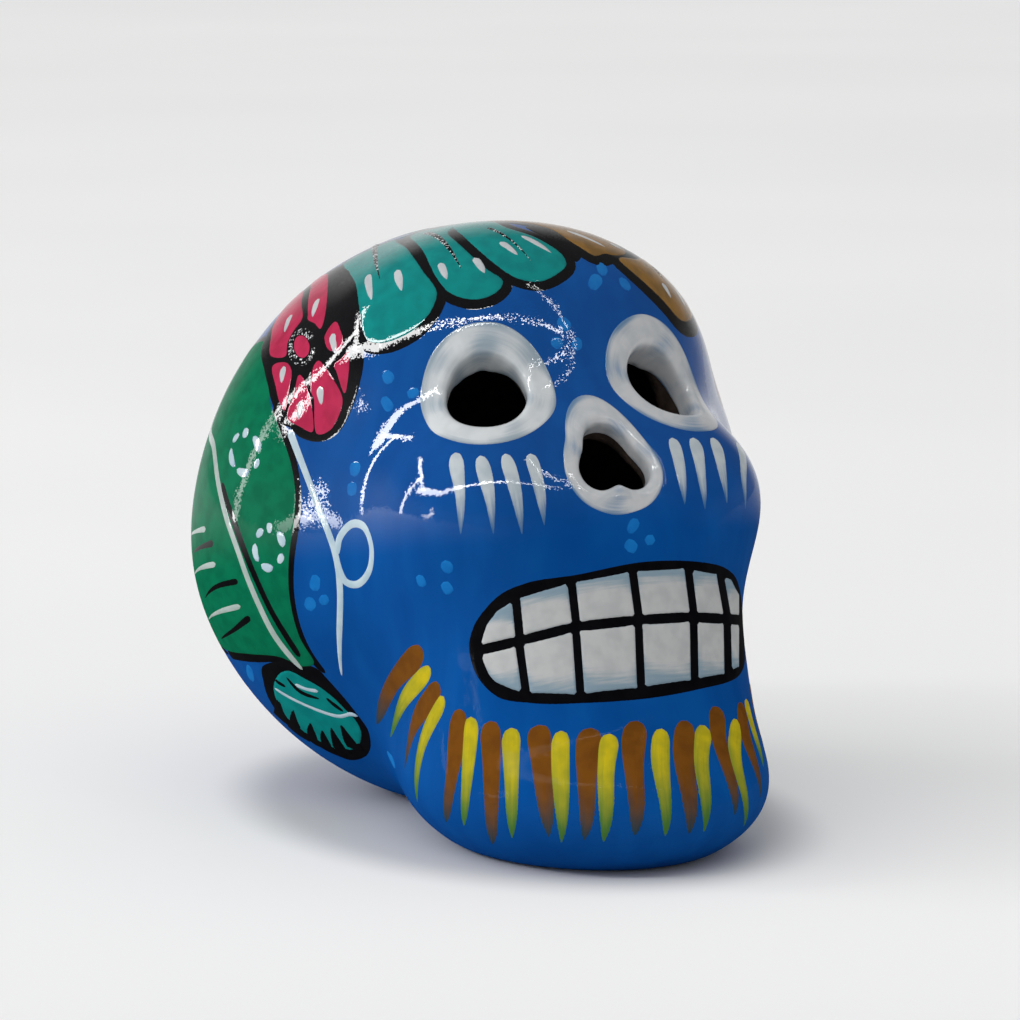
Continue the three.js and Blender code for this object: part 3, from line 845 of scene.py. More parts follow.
def build_rim(name, ragged, rim_end=RIM_END, drip=None, finish="white_enamel", shaded_top=0.0):
    """Thick white paint from the ring's outer edge over the lip and down the wall of the hole."""
    socket = SOCKETS[name]
    angle = np.linspace(0, 2 * np.pi, RIM_STEPS, endpoint=False)
    round_it = angle[:, None]
    waves = sum(
        np.sin(k * angle + rng.uniform(*PHASE)) * rng.uniform(*RIM_WAVE_SIZES) / k**0.5 for k in RIM_WAVES
    )
    top = socket.on_skin(angle, socket.hole(angle) + RIM_PIVOT_IN)
    normal = unit(slope(clay, top))
    pivot = top - RIM_PIVOT_DEPTH * normal
    axis = socket.middle + ((pivot - socket.middle) @ socket.out)[:, None] * socket.out
    inward = axis - pivot
    inward = unit(inward - (inward * normal).sum(-1)[:, None] * normal)
    edge = socket.on_skin(angle, socket.ring(angle) + RIM_EDGE_WAVE * waves) - pivot
    start = np.arctan2((edge * inward).sum(-1), (edge * normal).sum(-1))
    end = math.radians(rim_end) + ragged * waves
    share = np.linspace(0, 1, RIM_SWEEP)
    sweep = start[:, None] + (end - start)[:, None] * share
    rays = np.cos(sweep)[..., None] * normal[:, None] + np.sin(sweep)[..., None] * inward[:, None]
    lip, outer, tail = (
        np.clip(way / length, 0, 1)
        for way, length in ((share, LIP_SHARE), (share, SWELL_SHARE), (1 - share, TAIL_SHARE))
    )
    lumps = LUMP_RISE * blotches(round_it, share, *RIM_LUMPS)
    swell = np.sqrt(tail) * (LIP_RISE * np.sqrt(lip) + SWELL_RISE * outer**SWELL_POWER + lumps * outer)
    if drip is not None:
        aside = np.angle(np.exp(1j * (round_it - drip))) / DRIP_SPREAD
        swell = swell + DRIP_HEIGHT * np.exp(-(aside**2) - ((share - DRIP_SHARE) / DRIP_LENGTH) ** 2)

    def surface(lift):
        def at(reach):
            return pivot[:, None] + rays * reach[..., None]

        root = np.zeros(sweep.shape)
        return at(halved(lambda reach: body(at(reach)) < lift, root, root + RIM_REACH, RIM_ROUNDS)[0])

    film = surface(-SINK + (RIM_THICKNESS + SINK) * swell)
    back = surface(-ROOT_DEPTH)
    load = np.clip(RIM_LOAD[0] + RIM_LOAD[1] * np.minimum(share, 1 - share), 0, 1)
    # Worn places thin the paint at random; shaded_top thins it towards the ring's top as painted shade
    load = load - WEAR * blotches(round_it, share, *RIM_WORN) - shaded_top * (0.5 + 0.5 * np.sin(round_it))
    brush = np.stack(np.broadcast_arrays(RIM_BRUSH[0] * round_it, RIM_BRUSH[1] * share), -1)
    marks = Marks()
    marks.add(film, back, net(RIM_STEPS, RIM_SWEEP, closed=True), load, brush, body)
    marks.piece(f"{name}_ring", finish, (f"{name}_lining",), "white_enamel")


# Mouth in the photograph: black edge, inner edges of the tooth rows, middle line, and upright lines at three heights
MOUTH_EDGE = (
    (469, 647), (473, 628), (482, 613), (501, 594), (530, 582), (575, 575), (643, 562), (700, 562), (727, 569),
    (738, 583), (743, 622), (745, 655), (741, 673), (700, 689), (643, 699), (586, 703), (530, 703), (496, 696),
    (476, 674),
)
ROW_TOP = (
    (481, 641), (486, 625), (496, 611), (512, 601), (530, 594), (568, 583), (632, 571), (685, 568), (718, 574),
    (731, 579), (739, 595),
)
ROW_BOTTOM = (
    (481, 656), (484, 668), (493, 681), (507, 688), (522, 693), (577, 695), (639, 688), (693, 680), (725, 674),
    (739, 667),
)
ROW_MIDDLE = ((476, 651), (515, 642), (574, 627), (637, 620), (690, 617), (727, 619), (741, 620))
UPRIGHTS = (
    (481, 481, 481), (516, 519.5, 526), (571.5, 576, 580.5), (632.5, 638.5, 641), (688, 693.5, 694.5),
    (720, 727, 728), (739, 739, 739),
)
LINE_HALF = 3.4
MIDDLE_HALF = 4.4
MOUTH_WIDEN = 0.25
TOOTH_WIDEN = 0.1
TOOTH_FILM = 0.05
TOOTH_NAMES = ("right_3", "right_2", "right_1", "left_1", "left_2", "left_3")

# Rows: the edge, the place of its height in an upright, and the way from the middle line; then points of an outline
TOOTH_ROWS = {"upper": (ROW_TOP, 0, -1), "lower": (ROW_BOTTOM, 2, 1)}
MIDDLE_POINTS = 6
EDGE_POINTS = 7
SIDE_SHARES = np.array((0.08, 0.3, 0.7, 0.92))[:, None]


def level(line, x):
    """Height of a line in the photograph at a place across it."""
    across, heights = np.array(line).T
    return np.interp(x, across, heights)


def tooth_outline(column, row):
    """A tooth between its neighbours' lines, in pixels: along the middle line, then back along the row's edge."""
    edge, end, way = TOOTH_ROWS[row]
    first, last = UPRIGHTS[column], UPRIGHTS[column + 1]
    left = LINE_HALF if column else 0
    right = LINE_HALF if column < len(TOOTH_NAMES) - 1 else 0
    inner = np.linspace(first[1] + left, last[1] - right, MIDDLE_POINTS)
    outer = np.linspace(first[end] + left, last[end] - right, EDGE_POINTS)[::-1]
    near = np.stack((inner, level(ROW_MIDDLE, inner) + way * MIDDLE_HALF), -1)
    far = np.stack((outer, level(edge, outer)), -1)
    rising = near[-1] + SIDE_SHARES * (far[0] - near[-1])
    falling = far[-1] + SIDE_SHARES * (near[0] - far[-1])
    return np.vstack((near, rising, far, falling))


def build_mouth():
    ink = Marks()
    patch(ink, seen(MOUTH_EDGE), COAT, INK, MOUTH_WIDEN)
    ink.piece("mouth_lines", "ink")
    far = MIDDLE_POINTS + len(SIDE_SHARES)
    for column, name in enumerate(TOOTH_NAMES):
        for row in TOOTH_ROWS:
            outline = seen(tooth_outline(column, row))
            marks = Marks()
            across = outline[[0, MIDDLE_POINTS - 1]]
            fade = outline[:MIDDLE_POINTS].mean(0), outline[far:far + EDGE_POINTS].mean(0)
            patch(marks, outline, INK, TOOTH_FILM, TOOTH_WIDEN, across, fade)
            node = f"tooth_{row}_{name}"
            marks.piece(f"{node}_paint", "tooth_white", (node,), "white_enamel")


# Chin fringe: top and tip of each stroke in the photograph, from the right side's end onwards, and the brushes
FRINGE = (
    ((423, 649), (375, 731)), ((431, 668), (389, 742)), ((440, 684), (404, 774)), ((444, 696), (418, 805)),
    ((460, 708), (446, 826)), ((471, 716), (464, 829)), ((490, 720), (493, 848)), ((511, 727), (512, 841)),
    ((538, 724), (549, 841)), ((561, 730), (561, 846)), ((591, 727), (583, 844)), ((610, 733), (602, 846)),
    ((637, 720), (633, 841)), ((662, 728), (664, 840)), ((687, 720), (687, 840)), ((705, 725), (702, 836)),
    ((718, 706), (734, 820)), ((737, 719), (742, 830)), ((742, 702), (760, 802)), ((746, 698), (764, 770)),
    ((750, 682), (766, 754)),
)
FRINGE_PER_SIDE = 13
FIRST_HIDDEN = 9
BOWED_STROKES = 4
BOW = 0.09
FRINGE_BRUSHES = {
    "ochre_paint": (2.3, tapered, COAT, 0.05, 0.95),
    "yellow_paint": (1.8, tapered, COAT, 0.07, 0.95),
}


def build_fringe():
    spines = {}
    for number, ends in enumerate(FRINGE):
        top, tip = np.array(ends)
        across, down = tip - top
        bow = BOW if number < BOWED_STROKES else 0
        middle = (top + tip) / 2 + bow * np.array((-down, across))
        place = FRINGE_PER_SIDE - number
        spines["right" if place > 0 else "left", place if place > 0 else 1 - place] = seen((top, middle, tip))
    for place in range(FIRST_HIDDEN, FRINGE_PER_SIDE + 1):
        spines["left", place] = mirrored(spines["right", place])
    for (side, place), spine in spines.items():
        node = f"fringe_{side}_{place}"
        slot = "ochre_paint" if (place % 2 == 1) == (side == "right") else "yellow_paint"
        brushed(f"{node}_paint", slot, [(spine, *FRINGE_BRUSHES[slot])], slot, (node,))


# Tears under the eyes: top and tip of each, their bend, and the brush
TEARS = (
    ((455, 452), (461, 541)), ((480, 455), (494, 540)), ((505, 453), (523, 542)), ((530, 453), (545, 532)),
    ((672, 437), (685, 510)), ((693, 437), (705, 515)), ((713, 437), (727, 510)), ((738, 443), (745, 515)),
)
TEAR_BEND = 0.55
TEAR_ASIDE = 2
TEAR_BRUSH = (1.35, tear, COAT, 0.07, 0.9)


def build_tears():
    strokes = []
    for top, tip in TEARS:
        bend = (1 - TEAR_BEND) * top[0] + TEAR_BEND * tip[0] + TEAR_ASIDE
        strokes.append((seen((top, (bend, (top[1] + tip[1]) / 2), tip)), *TEAR_BRUSH))
    brushed("tear_strokes", "tear_white", strokes, "white_enamel")


# Crown of petals: outlines in the photograph, and hidden edges as turn and rise from the heart
CROWN_MIDDLE = aim(-166, 73)
CROWN_ROOT_SHAPE = ((0.2, 1.0),)
CROWN_ROOT_HALF = 1.8
CROWN_LINE = {"teal_paint": 2.1, "gold_paint": 2.9}
CROWN_LINE_STEP = 0.003
PETAL_WIDEN = 0.35
CROWN_CORE = 7
CORE_POINTS = 12
CROWN_GAP = ((524, 227), (540, 226), (556, 231), (568, 240), (584, 251), (577, 263), (566, 257), (550, 243))
CROWN = {
    "right": (
        "teal_paint",
        (
            (347, 262), (350, 272), (357, 286), (361, 313), (364, 332), (370, 341), (389, 341), (411, 331),
            (426, 317), (434, 303), (436, 293), (421, 270), (407, 250), (399, 238),
        ),
        (),
    ),
    "front_right": (
        "teal_paint",
        (
            (415, 234), (427, 256), (437, 277), (450, 292), (473, 299), (494, 293), (502, 282), (485, 269),
            (464, 250), (447, 233),
        ),
        (),
    ),
    "front": (
        "teal_paint",
        (
            (454, 228), (473, 244), (495, 263), (516, 277), (537, 281), (554, 275), (565, 265), (562, 256),
            (537, 239), (506, 228),
        ),
        (),
    ),
    "front_left": (
        "gold_paint", ((551, 229), (569, 240), (582, 248), (594, 255), (604, 253), (616, 255), (624, 251)),
        ((84, 75.5), (125, 79)),
    ),
    "left": (
        "gold_paint", ((620, 260), (632, 271), (649, 286), (666, 303), (678, 317), (686, 320), (691, 315)),
        ((80, 57.5), (90, 61), (84, 66), (66, 68.8)),
    ),
}
BACK_PETALS = {"back_left": ("gold_paint", (142, 46)), "back_right": ("teal_paint", (-158, 44))}
BACK_PETAL_HALF = 7.5
BACK_PETAL_SHAPE = ((0.12, 0.3), (0.35, 0.65), (0.65, 1.0), (0.88, 0.88), (1.0, 0.45))
BEHIND = "left"

# Creases and dabs on the petals: start, end and half width, and the rest of their brush
CREASES = (
    ((376, 245), (383, 289), 0.8), ((425, 233), (466, 279), 0.8), ((487, 228), (535, 267), 0.45),
    ((651, 266), (665, 282), 0.4),
)
CREASE_BRUSH = (pointed, COLOUR, 0.05, 0.2)
CROWN_DABS = (
    ((368, 275), (372, 301), 0.85), ((397, 270), (402, 292), 0.8), ((440, 263), (447, 280), 0.75),
    ((474, 258), (485, 274), 0.75), ((500, 242), (518, 256), 0.75), ((521, 236), (552, 254), 0.7),
    ((566, 231), (606, 248), 0.7), ((609, 243), (622, 250), 0.6), ((662, 283), (671, 299), 0.75),
    ((674, 288), (685, 307), 0.7),
)
CROWN_DAB_BRUSH = (drop, COLOUR, 0.06, 0.3)


def disc(direction, radius):
    """A round outline on the skin."""
    across = unit(np.cross(direction, (1.0, 0, 0)))
    along = np.cross(direction, across)
    angles = np.linspace(0, 2 * np.pi, CORE_POINTS, endpoint=False)[:, None]
    return skin(skin(direction[None]) + radius * (np.cos(angles) * across + np.sin(angles) * along) - HEART)


def petal_sides(tip, shape, half):
    """A petal's edges as shares of the way from the crown's middle to its tip, with its width there."""
    side = half * unit(np.cross(CROWN_MIDDLE, tip))
    share, wide = np.array(shape).T[..., None]
    middle = skin(unit(CROWN_MIDDLE * (1 - share) + tip * share))
    return skin(np.vstack((middle - wide * side, (middle + wide * side)[::-1])) - HEART)


def build_crown():
    outlines = {}
    for name, (slot, pixels, hidden) in CROWN.items():
        shown = seen(pixels)
        outline = np.vstack((shown, placed(hidden))) if hidden else shown
        if name != BEHIND:
            roots = petal_sides(unit(shown[len(shown) // 2] - HEART), CROWN_ROOT_SHAPE, CROWN_ROOT_HALF)
            first = np.linalg.norm(roots - shown[0], axis=1).argmin()
            outline = np.vstack((roots[first], outline, roots[1 - first]))
        outlines[name] = slot, outline
    for name, (slot, tip) in BACK_PETALS.items():
        outlines[name] = slot, petal_sides(aim(*tip), BACK_PETAL_SHAPE, BACK_PETAL_HALF)
    ink = Marks()
    lift = INK
    middle = skin(CROWN_MIDDLE[None])[0]
    for name, (slot, outline) in outlines.items():
        patch(ink, outline, COAT, lift, widen=CROWN_LINE[slot])
        lift -= CROWN_LINE_STEP
        marks = Marks()
        patch(marks, outline, INK, COLOUR - INK, PETAL_WIDEN, (middle, outline.mean(0)))
        node = f"crown_petal_{name}"
        marks.piece(f"{node}_paint", slot, (node,), slot)
    patch(ink, disc(CROWN_MIDDLE, CROWN_CORE), COAT, lift)
    patch(ink, seen(CROWN_GAP), COAT, INK)
    ink.piece("crown_lines", "ink")
    # The creases take ridged ink with painted glints
    creases = [(seen((start, end)), half, *CREASE_BRUSH) for start, end, half in CREASES]
    brushed("crown_creases", "ridged_ink_painted_glints", creases)
    dabs = [(seen((start, end)), half, *CROWN_DAB_BRUSH) for start, end, half in CROWN_DABS]
    brushed("crown_dabs", "white_enamel", dabs, "white_enamel")


# Flower of the right side, repeated as a mirror image on the hidden left side
FLOWER_LINE_SHOWN = (
    (365, 339), (365, 359), (362, 379), (354, 406), (342, 430), (330, 440), (315, 443), (299, 438), (288, 428),
    (279, 426), (272, 406), (263, 374), (260, 350),
)
FLOWER_LINE_HIDDEN = ((-127, 47), (-134, 52), (-134, 59), (-128, 64))
FLOWER_LINE_TOP = ((349, 264), (352, 273), (356, 289), (362, 320))
FLOWER_PETALS = (
    ((326, 274), (328, 289), (325, 317), (321, 329), (315, 324), (308, 320), (308, 315), (310, 292), (316, 280)),
    (
        (303, 291), (302, 305), (302, 320), (294, 331), (288, 343), (286, 356), (271, 356), (271, 339), (274, 325),
        (281, 313), (289, 303), (296, 296),
    ),
    ((273, 366), (287, 363), (292, 372), (290, 387), (285, 411), (280, 403), (276, 387)),
    ((299, 375), (304, 379), (308, 390), (311, 399), (313, 432), (300, 427), (288, 419), (288, 410), (294, 395)),
    (
        (318, 361), (313, 369), (311, 392), (314, 399), (317, 434), (330, 431), (338, 419), (343, 400), (334, 380),
        (326, 368),
    ),
    ((349, 352), (349, 372), (345, 394), (337, 373), (334, 365), (341, 359)),
    ((335, 322), (341, 332), (343, 341), (341, 349), (330, 351), (325, 336)),
)
FLOWER_CENTRE = (302, 347)
FLOWER_CENTRE_RADII = (9.4, 13.4)
FLOWER_CENTRE_POINTS = 10
FLOWER_RING_RADII = (11.5, 15.5)
FLOWER_RING_POINTS = 13
FLOWER_RING_BRUSH = (0.6, even, COLOUR, 0.04, 0.0)
FLOWER_DABS = (
    ((291, 315), (285, 333)), ((318, 299), (313, 318)), ((332, 334), (336, 354)), ((284, 366), (282, 384)),
    ((302, 400), (299, 420)), ((320, 386), (322, 406)),
)
FLOWER_DAB_BRUSH = (0.85, drop, COLOUR, 0.06, 0.4)

# Leaf
LEAF_SHOWN = (
    (272, 404), (281, 428), (292, 462), (297, 493), (296, 516), (291, 561), (292, 596), (302, 637), (316, 663),
    (303, 668), (280, 659), (251, 656), (229, 652),
)
LEAF_HIDDEN = ((-128, -12), (-137, 3), (-140, 18), (-136, 32), (-126, 42), (-112, 45))
LEAF_EDGE = (
    (274, 406), (283, 430), (294, 464), (298, 494), (297, 520), (291, 561), (291, 596), (301, 637), (315, 662),
    (326, 674),
)
LEAF_EDGE_BRUSH = (0.85, even, COAT, INK, 0.0)
LEAF_FOOT = ((229, 654), (251, 657), (280, 658), (300, 664))
LEAF_FOOT_BRUSH = (1.2, even, COAT, INK, 0.0)
LEAF_MIDRIB = (
    (212, 426), (214, 448), (219, 486), (226, 516), (237, 548), (248, 579), (259, 605), (275, 636), (291, 657),
    (303, 670),
)
LEAF_MIDRIB_HIDDEN = ((-127, 38), (-127, 32))
LEAF_MIDRIB_BRUSH = (0.72, even, LEAF, 0.08, 0.1)
LEAF_SHADE = ((222, 482), (235, 524), (247, 557), (259, 585), (272, 612), (287, 637), (301, 658))
LEAF_SHADE_BRUSH = (0.85, even, LEAF, 0.03, 0.0)
LEAF_INK_VEINS = (
    ((214, 543), (193, 554)), ((239, 581), (216, 587), (204, 602)), ((251, 617), (234, 630), (220, 641)),
)
INK_VEIN_BRUSH = (0.75, pointed, LEAF, 0.03, 0.0)
LEAF_WHITE_VEINS = (
    ((206, 529), (190, 536)), ((216, 564), (201, 568), (195, 576)), ((241, 606), (219, 612), (209, 621)),
)
WHITE_VEIN_BRUSH = (0.6, pointed, LEAF, 0.06, 0.4)
LEAF_ROSETTES = ((245, 453), (269, 548))
ROSETTE_RADII = np.array((14, 20))
ROSETTE_ARCS = ((75, 100, 1.0), (112, 150, 0.7), (165, 225, 0.75), (235, 290, 0.8), (-50, -15, 0.7), (0, 55, 0.85))
ARC_POINTS = 4
ROSETTE_BRUSH = (rounded, LEAF, 0.07, 0.5)

# Lower sprig, and tendril with its loop
SPRIG_LINE = (
    (261, 665), (262, 681), (267, 697), (277, 713), (288, 726), (304, 736), (324, 750), (339, 757), (351, 761),
    (366, 758), (371, 751), (372, 744), (369, 730), (359, 715), (344, 696), (328, 678), (318, 668), (290, 660),
)
SPRIG_INK = 0.03
SPRIG = (
    (279, 673), (286, 670), (292, 671), (305, 678), (321, 687), (335, 698), (345, 708), (357, 721), (362, 732),
    (361, 743), (356, 749), (339, 750), (324, 744), (304, 732), (288, 719), (278, 704), (273, 687),
)
SPRIG_STREAKS = (
    ((275, 688), (286, 695), (304, 704), (321, 711), (339, 716), (351, 714), (358, 716)),
    ((295, 684), (307, 689), (319, 691)),
)
SPRIG_STREAK_BRUSH = (0.42, even, COLOUR, 0.06, 0.2)
SPRIG_DASHES = (((286, 676), (300, 691), (321, 699)), ((275, 680), (287, 687)), ((326, 697), (334, 704), (345, 712)))
SPRIG_DASH_BRUSH = (0.6, rounded, COLOUR, 0.03, 0.0)
SPRIG_FINGERS = (
    ((284, 722), (280, 697), 2.2), ((300, 736), (294, 704), 2.3), ((316, 745), (311, 718), 2.0),
    ((330, 751), (322, 725), 1.8), ((343, 752), (330, 722), 2.1), ((356, 750), (339, 719), 2.3),
)
SPRIG_FINGER_BRUSH = (pointed, COLOUR, 0.03, 0.0)
TENDRIL = ((289, 429), (303, 466), (316, 501), (335, 553), (340, 591), (342, 677))
TENDRIL_BRUSH = (0.85, pointed_line, COAT, 0.07, 0.2)
TENDRIL_LOOP = (
    (337, 556), (340, 537), (352, 524), (364, 527), (371, 545), (370, 568), (358, 584), (346, 582), (338, 566),
)
LOOP_BRUSH = (0.72, even, COAT, 0.07, 0.2)

# Dots in the photograph, and those at the back as turn and rise of a group and of a dot in it
SIDE_DOTS = ((355, 469), (352, 489), (315, 583), (310, 604), (324, 600), (250, 673))
FACE_DOTS = (
    (388, 377), (413, 393), (387, 404), (447, 567), (421, 581), (447, 588), (391, 759), (564, 324), (557, 343),
    (577, 344), (602, 269), (595, 282), (625, 284), (633, 526), (650, 540), (631, 546),
)
BACK_DOT_GROUPS = ((178, 22), (-163, 2), (160, -6), (-178, -24), (-152, 26), (150, 24))
BACK_DOT_PLACES = ((-3.2, 2.4), (3.2, 2.0), (0.2, -4.0))
DOT_HALF = 1.3
DOT_HALVES = (0.8, 1.15)
DOT_LENGTH = 17
DOT_LENGTHS = (0.75, 1.1)
DOT_ANGLES = (0.9, 2.2)
BACK_DOT_LEANS = (-0.8, 0.8)
BACK_DOT_RISES = (1.2, 1.6)
DOT_BRUSH = (rounded, COAT, 0.04, 0.5)


def ellipse(middle, radii, count):
    angles = np.linspace(0, 2 * np.pi, count, endpoint=False)
    return np.stack((middle[0] + radii[0] * np.cos(angles), middle[1] + radii[1] * np.sin(angles)), -1)


def rosette(centre):
    """Arcs round a place on the leaf, each with its half width."""
    for first, last, half in ROSETTE_ARCS:
        angles = np.radians(np.linspace(first, last, ARC_POINTS))
        yield np.array(centre) + np.stack((np.cos(angles), -np.sin(angles)), -1) * ROSETTE_RADII, half


def build_side(side):
    """The side's own motifs; the left side's are the right side's in the mirror."""
    turn = np.asarray if side == "right" else set_back

    def shown(pixels):
        return turn(seen(pixels))

    ink = Marks()
    flower_line = np.vstack((seen(FLOWER_LINE_SHOWN), placed(FLOWER_LINE_HIDDEN), seen(FLOWER_LINE_TOP)))
    patch(ink, turn(flower_line), COAT, FLOWER_INK)
    flower = Marks()
    for petal in FLOWER_PETALS:
        patch(flower, shown(petal), INK, COLOUR - INK, PETAL_WIDEN, shown((FLOWER_CENTRE, petal[0])))
    centre = ellipse(FLOWER_CENTRE, FLOWER_CENTRE_RADII, FLOWER_CENTRE_POINTS)
    patch(flower, shown(centre), INK, COLOUR - INK)
    flower.piece(f"flower_{side}_paint", "pink_paint", (f"flower_{side}",), "pink_paint")

    leaf = Marks()
    outline = np.vstack((seen(LEAF_SHOWN), placed(LEAF_HIDDEN)))
    patch(leaf, turn(outline), COAT, LEAF, grain=shown((LEAF_MIDRIB[2], LEAF_MIDRIB[-1])))
    leaf.piece(f"leaf_{side}_paint", "green_paint", (f"leaf_{side}",), "green_paint")
    hidden_edge = np.vstack((seen(LEAF_FOOT[:1]), placed(LEAF_HIDDEN), seen(LEAF_EDGE[:1])))
    stroke(ink, shown(LEAF_EDGE), *LEAF_EDGE_BRUSH)
    stroke(ink, shown(LEAF_FOOT), *LEAF_FOOT_BRUSH)
    stroke(ink, turn(hidden_edge), *LEAF_EDGE_BRUSH)
    stroke(ink, shown(LEAF_SHADE), *LEAF_SHADE_BRUSH)
    for vein in LEAF_INK_VEINS:
        stroke(ink, shown(vein), *INK_VEIN_BRUSH)

    patch(ink, shown(SPRIG_LINE), COAT, SPRIG_INK)
    sprig = Marks()
    patch(sprig, shown(SPRIG), INK, COLOUR - INK)
    sprig.piece(f"sprig_{side}_paint", "teal_paint", (f"sprig_{side}",), "teal_paint")
    for dash in SPRIG_DASHES:
        stroke(ink, shown(dash), *SPRIG_DASH_BRUSH)
    for root, tip, half in SPRIG_FINGERS:
        stroke(ink, shown((root, tip)), half, *SPRIG_FINGER_BRUSH)
    ink.piece(f"side_{side}_lines", "ink")

    midrib = np.vstack((placed(LEAF_MIDRIB_HIDDEN), seen(LEAF_MIDRIB)))
    veins = [(turn(midrib), *LEAF_MIDRIB_BRUSH), *((shown(vein), *WHITE_VEIN_BRUSH) for vein in LEAF_WHITE_VEINS)]
    brushed(f"leaf_{side}_strokes", "leaf_white", veins, "white_enamel")
    pale = [(arc, half, *ROSETTE_BRUSH) for centre in LEAF_ROSETTES for arc, half in rosette(centre)]
    pale += [(streak, *SPRIG_STREAK_BRUSH) for streak in SPRIG_STREAKS]
    pale += [(TENDRIL, *TENDRIL_BRUSH), (TENDRIL_LOOP + TENDRIL_LOOP[:1], *LOOP_BRUSH)]
    pale = [(shown(pixels), *brush) for pixels, *brush in pale]
    brushed(f"side_{side}_strokes", "pale", pale, "white_enamel")
    dabs = [(shown(dab), *FLOWER_DAB_BRUSH) for dab in FLOWER_DABS]
    brushed(f"flower_{side}_dabs", "white_enamel", dabs, "white_enamel")
    # A ridged black ring round the flower's middle, with painted glints
    ring = ellipse(FLOWER_CENTRE, FLOWER_RING_RADII, FLOWER_RING_POINTS)
    brushed(f"flower_{side}_ring", "ridged_ink_painted_glints", [(shown(ring), *FLOWER_RING_BRUSH)])
    brushed(f"side_{side}_dots", "dots", dots(SIDE_DOTS, shown, leaning), "blue_coat")


def leaning():
    """Half of a dot's length in the photograph, near upright."""
    angle = rng.uniform(*DOT_ANGLES)
    return np.array((math.cos(angle), math.sin(angle))) * DOT_LENGTH / 2 * rng.uniform(*DOT_LENGTHS)


def leaning_behind():
    """The same at the back, as turn and rise."""
    return np.array((rng.uniform(*BACK_DOT_LEANS), rng.uniform(*BACK_DOT_RISES)))


def dots(places, on_clay, lean):
    """Short dabs, no two alike."""
    for middle in np.array(places, float):
        way = lean()
        yield on_clay((middle - way, middle, middle + way)), DOT_HALF * rng.uniform(*DOT_HALVES), *DOT_BRUSH


# Studio: strips of light as they show in the varnish, each with start and end (turn and rise), width and radiance
LIGHT_DISTANCE = 2500
STRIPS = (
    ((-117, 21), (-88, 29), 280, 10.5), ((-88, 29), (-61, 45), 205, 10.5), ((-61, 45), (-32, 53), 80, 16),
    ((-32, 53), (-3, 54), 58, 15), ((-3, 54), (29, 42), 34, 11), ((32, 38), (42, 70), 24, 9),
    ((-102, -1), (-92, 3), 140, 10.5), ((-92, 3), (-92, 11), 140, 10.5), ((-109, 24), (-140, 38), 125, 10.5),
    ((-122, 33), (-128, -1), 125, 10.5),
)

# Light from all round, and the room's tone from low to high and towards the back
FILL = 0.58
ROOM_LOW = (0.0, 0.35, 0.3, 0.07)
ROOM_BACK = (0.72, 1.0, 0.0, 0.45)
AWAY = tuple(-unit(BACK * (1, 1, 0)))
WHITE = (1.0, 1.0, 1.0, 1.0)

# Paper floor in metres, and its glow: none round the skull's foot, so the floor is darker there as painted contact
# shadow, stronger far off, none in front
FLOOR_HALF = 8.0
FLOOR_POINTS = 9
PAPER_TONES = ((214, 214, 214), (218, 218, 218))
PAPER_GRAIN = 3.0
PAPER_ROUGHNESS = 0.9
FOOT = (0.036, 0.052, 1.0)
FOOT_SHADE_EDGE = (0.95, 1.3, 0.0, 0.25)
FLOOR_FAR = (0.1, 2.6, 0.0, 0.11)
FLOOR_FRONT = (-0.42, -0.06)


def add_object(name, data, axes, middle):
    """A lamp or camera with its own axes at a place in the frame."""
    made = bpy.data.objects.new(name, data)
    turn = Matrix(np.stack(axes, -1).tolist()).to_4x4()
    turn.translation = (middle * MM).tolist()
    made.matrix_world = turn
    bpy.context.scene.collection.objects.link(made)
    return made


def build_lamps():
    """Flat lamps that face the skull; their power follows from size and radiance."""
    for i, (start, end, width, radiance) in enumerate(STRIPS):
        a, b = (CAMERA_AIM + LIGHT_DISTANCE * aim(*way) for way in (start, end))
        data = bpy.data.lights.new(f"strip_{i}", "AREA")
        data.shape = "RECTANGLE"
        data.size = np.linalg.norm(b - a) * MM
        data.size_y = width * MM
        data.energy = radiance * math.pi * data.size * data.size_y
        facing = unit((a + b) / 2 - CAMERA_AIM)
        x = unit((b - a) - ((b - a) @ facing) * facing)
        add_object(f"strip_{i}", data, (x, np.cross(facing, x), facing), (a + b) / 2)


def build_room():
    """Even light from all round, and the tones that the room has where it is looked at or mirrored."""
    world = bpy.data.worlds.new("pale_room")
    bpy.context.scene.world = world
    world.use_nodes = True
    room = Nodes(world.node_tree, "Background")
    direction = room.node("ShaderNodeTexCoord").outputs["Generated"]

    def toned(way, steps):
        return room.ranged(room.vector("DOT_PRODUCT", direction, way, output="Value"), *steps)

    tone = room.math("ADD", toned((0.0, 0.0, 1.0), ROOM_LOW), toned(AWAY, ROOM_BACK))
    room.set(Color=WHITE, Strength=room.ranged(room.watched(), 0.0, 1.0, FILL, tone, "LINEAR"))


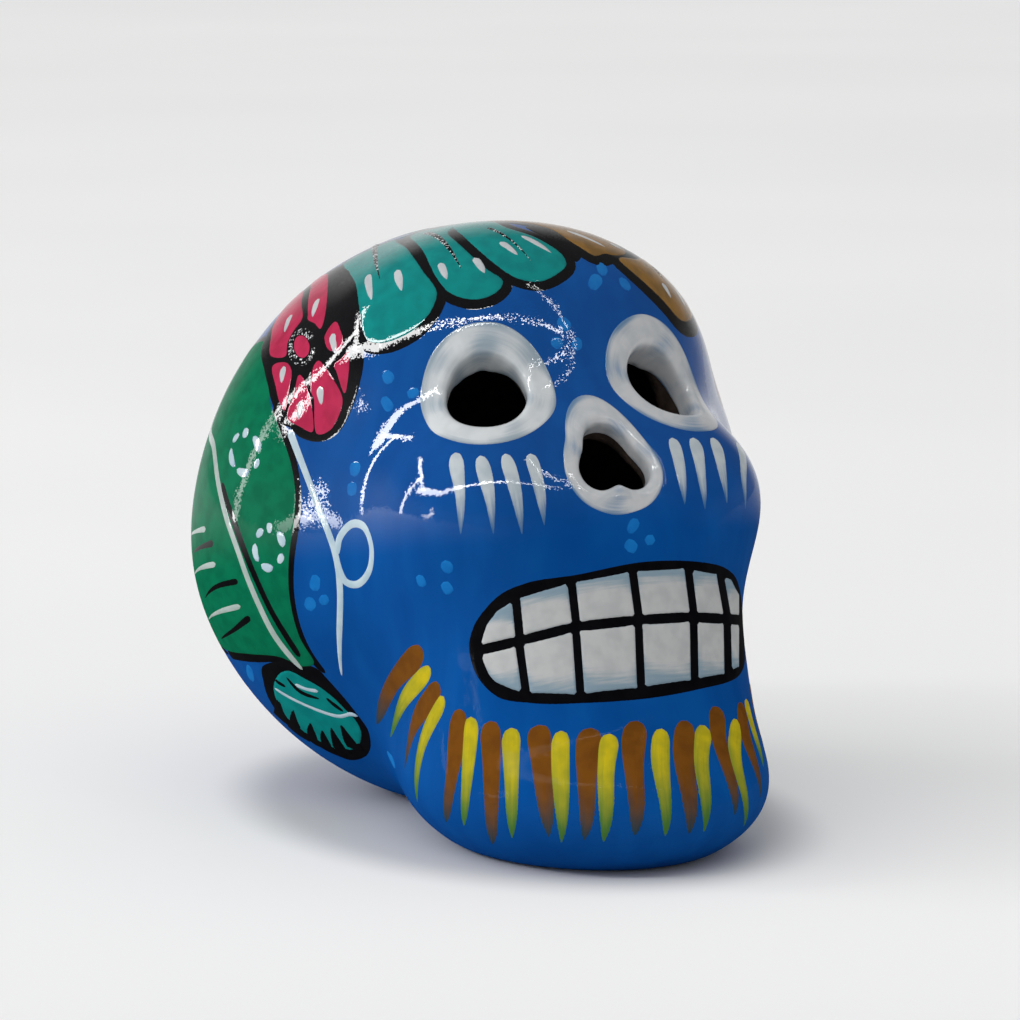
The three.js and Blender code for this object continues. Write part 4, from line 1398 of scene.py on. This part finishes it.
def build_floor():
    mesh = bpy.data.meshes.new("studio_floor")
    steps = np.linspace(-FLOOR_HALF, FLOOR_HALF, FLOOR_POINTS)
    points = [(x, y, 0.0) for x in steps for y in steps]
    mesh.from_pydata(points, [], net(FLOOR_POINTS, FLOOR_POINTS).tolist())
    finish = Finish("pale_paper")
    place = finish.place()
    cloud = finish.ranged(finish.noise(place, PAPER_GRAIN), *EVEN_SPAN)
    far = finish.ranged(finish.vector("LENGTH", place, output="Value"), *FLOOR_FAR, "LINEAR")
    # No glow close round the foot: painted contact shadow on the floor
    foot = finish.vector("DIVIDE", place, FOOT)
    near = finish.ranged(finish.vector("LENGTH", foot, output="Value"), *FOOT_SHADE_EDGE)
    front = finish.ranged(finish.vector("DOT_PRODUCT", place, AWAY, output="Value"), *FLOOR_FRONT)
    glow = finish.math("MULTIPLY", finish.math("ADD", near, far), front)
    finish.set(
        Base_Color=finish.blend(cloud, *(srgb(*tone) for tone in PAPER_TONES)),
        Roughness=PAPER_ROUGHNESS,
        Emission_Color=WHITE,
        Emission_Strength=finish.math("MULTIPLY", glow, finish.watched()),
    )
    mesh.materials.append(finish.material)
    floor = bpy.data.objects.new("studio_floor", mesh)
    bpy.context.scene.collection.objects.link(floor)


def build_camera():
    data = bpy.data.cameras.new("camera")
    data.sensor_width = SENSOR
    data.lens = FOCAL / IMAGE * SENSOR
    data.clip_start, data.clip_end = CAMERA_CLIP
    bpy.context.scene.camera = add_object("camera", data, (RIGHT, UP, BACK), EYE)


build_body()
build_rim("right_eye", EYE_RAGGED, finish="ring_white_lit_and_shaded", shaded_top=NEAR_RING_TOP_SHADE)
build_rim("left_eye", EYE_RAGGED)
build_rim("nose", NOSE_RAGGED, NOSE_RIM_END, DRIP_ANGLE)
build_mouth()
build_fringe()
build_tears()
build_crown()
build_side("right")
build_side("left")
brushed("face_dots", "dots", dots(FACE_DOTS, seen, leaning), "blue_coat")
back_dots = [np.array(group) + place for group in BACK_DOT_GROUPS for place in BACK_DOT_PLACES]
brushed("back_dots", "dots", dots(back_dots, placed, leaning_behind), "blue_coat")
build_lamps()
build_room()
build_floor()
build_camera()
bpy.context.scene.view_settings.view_transform = "Standard"
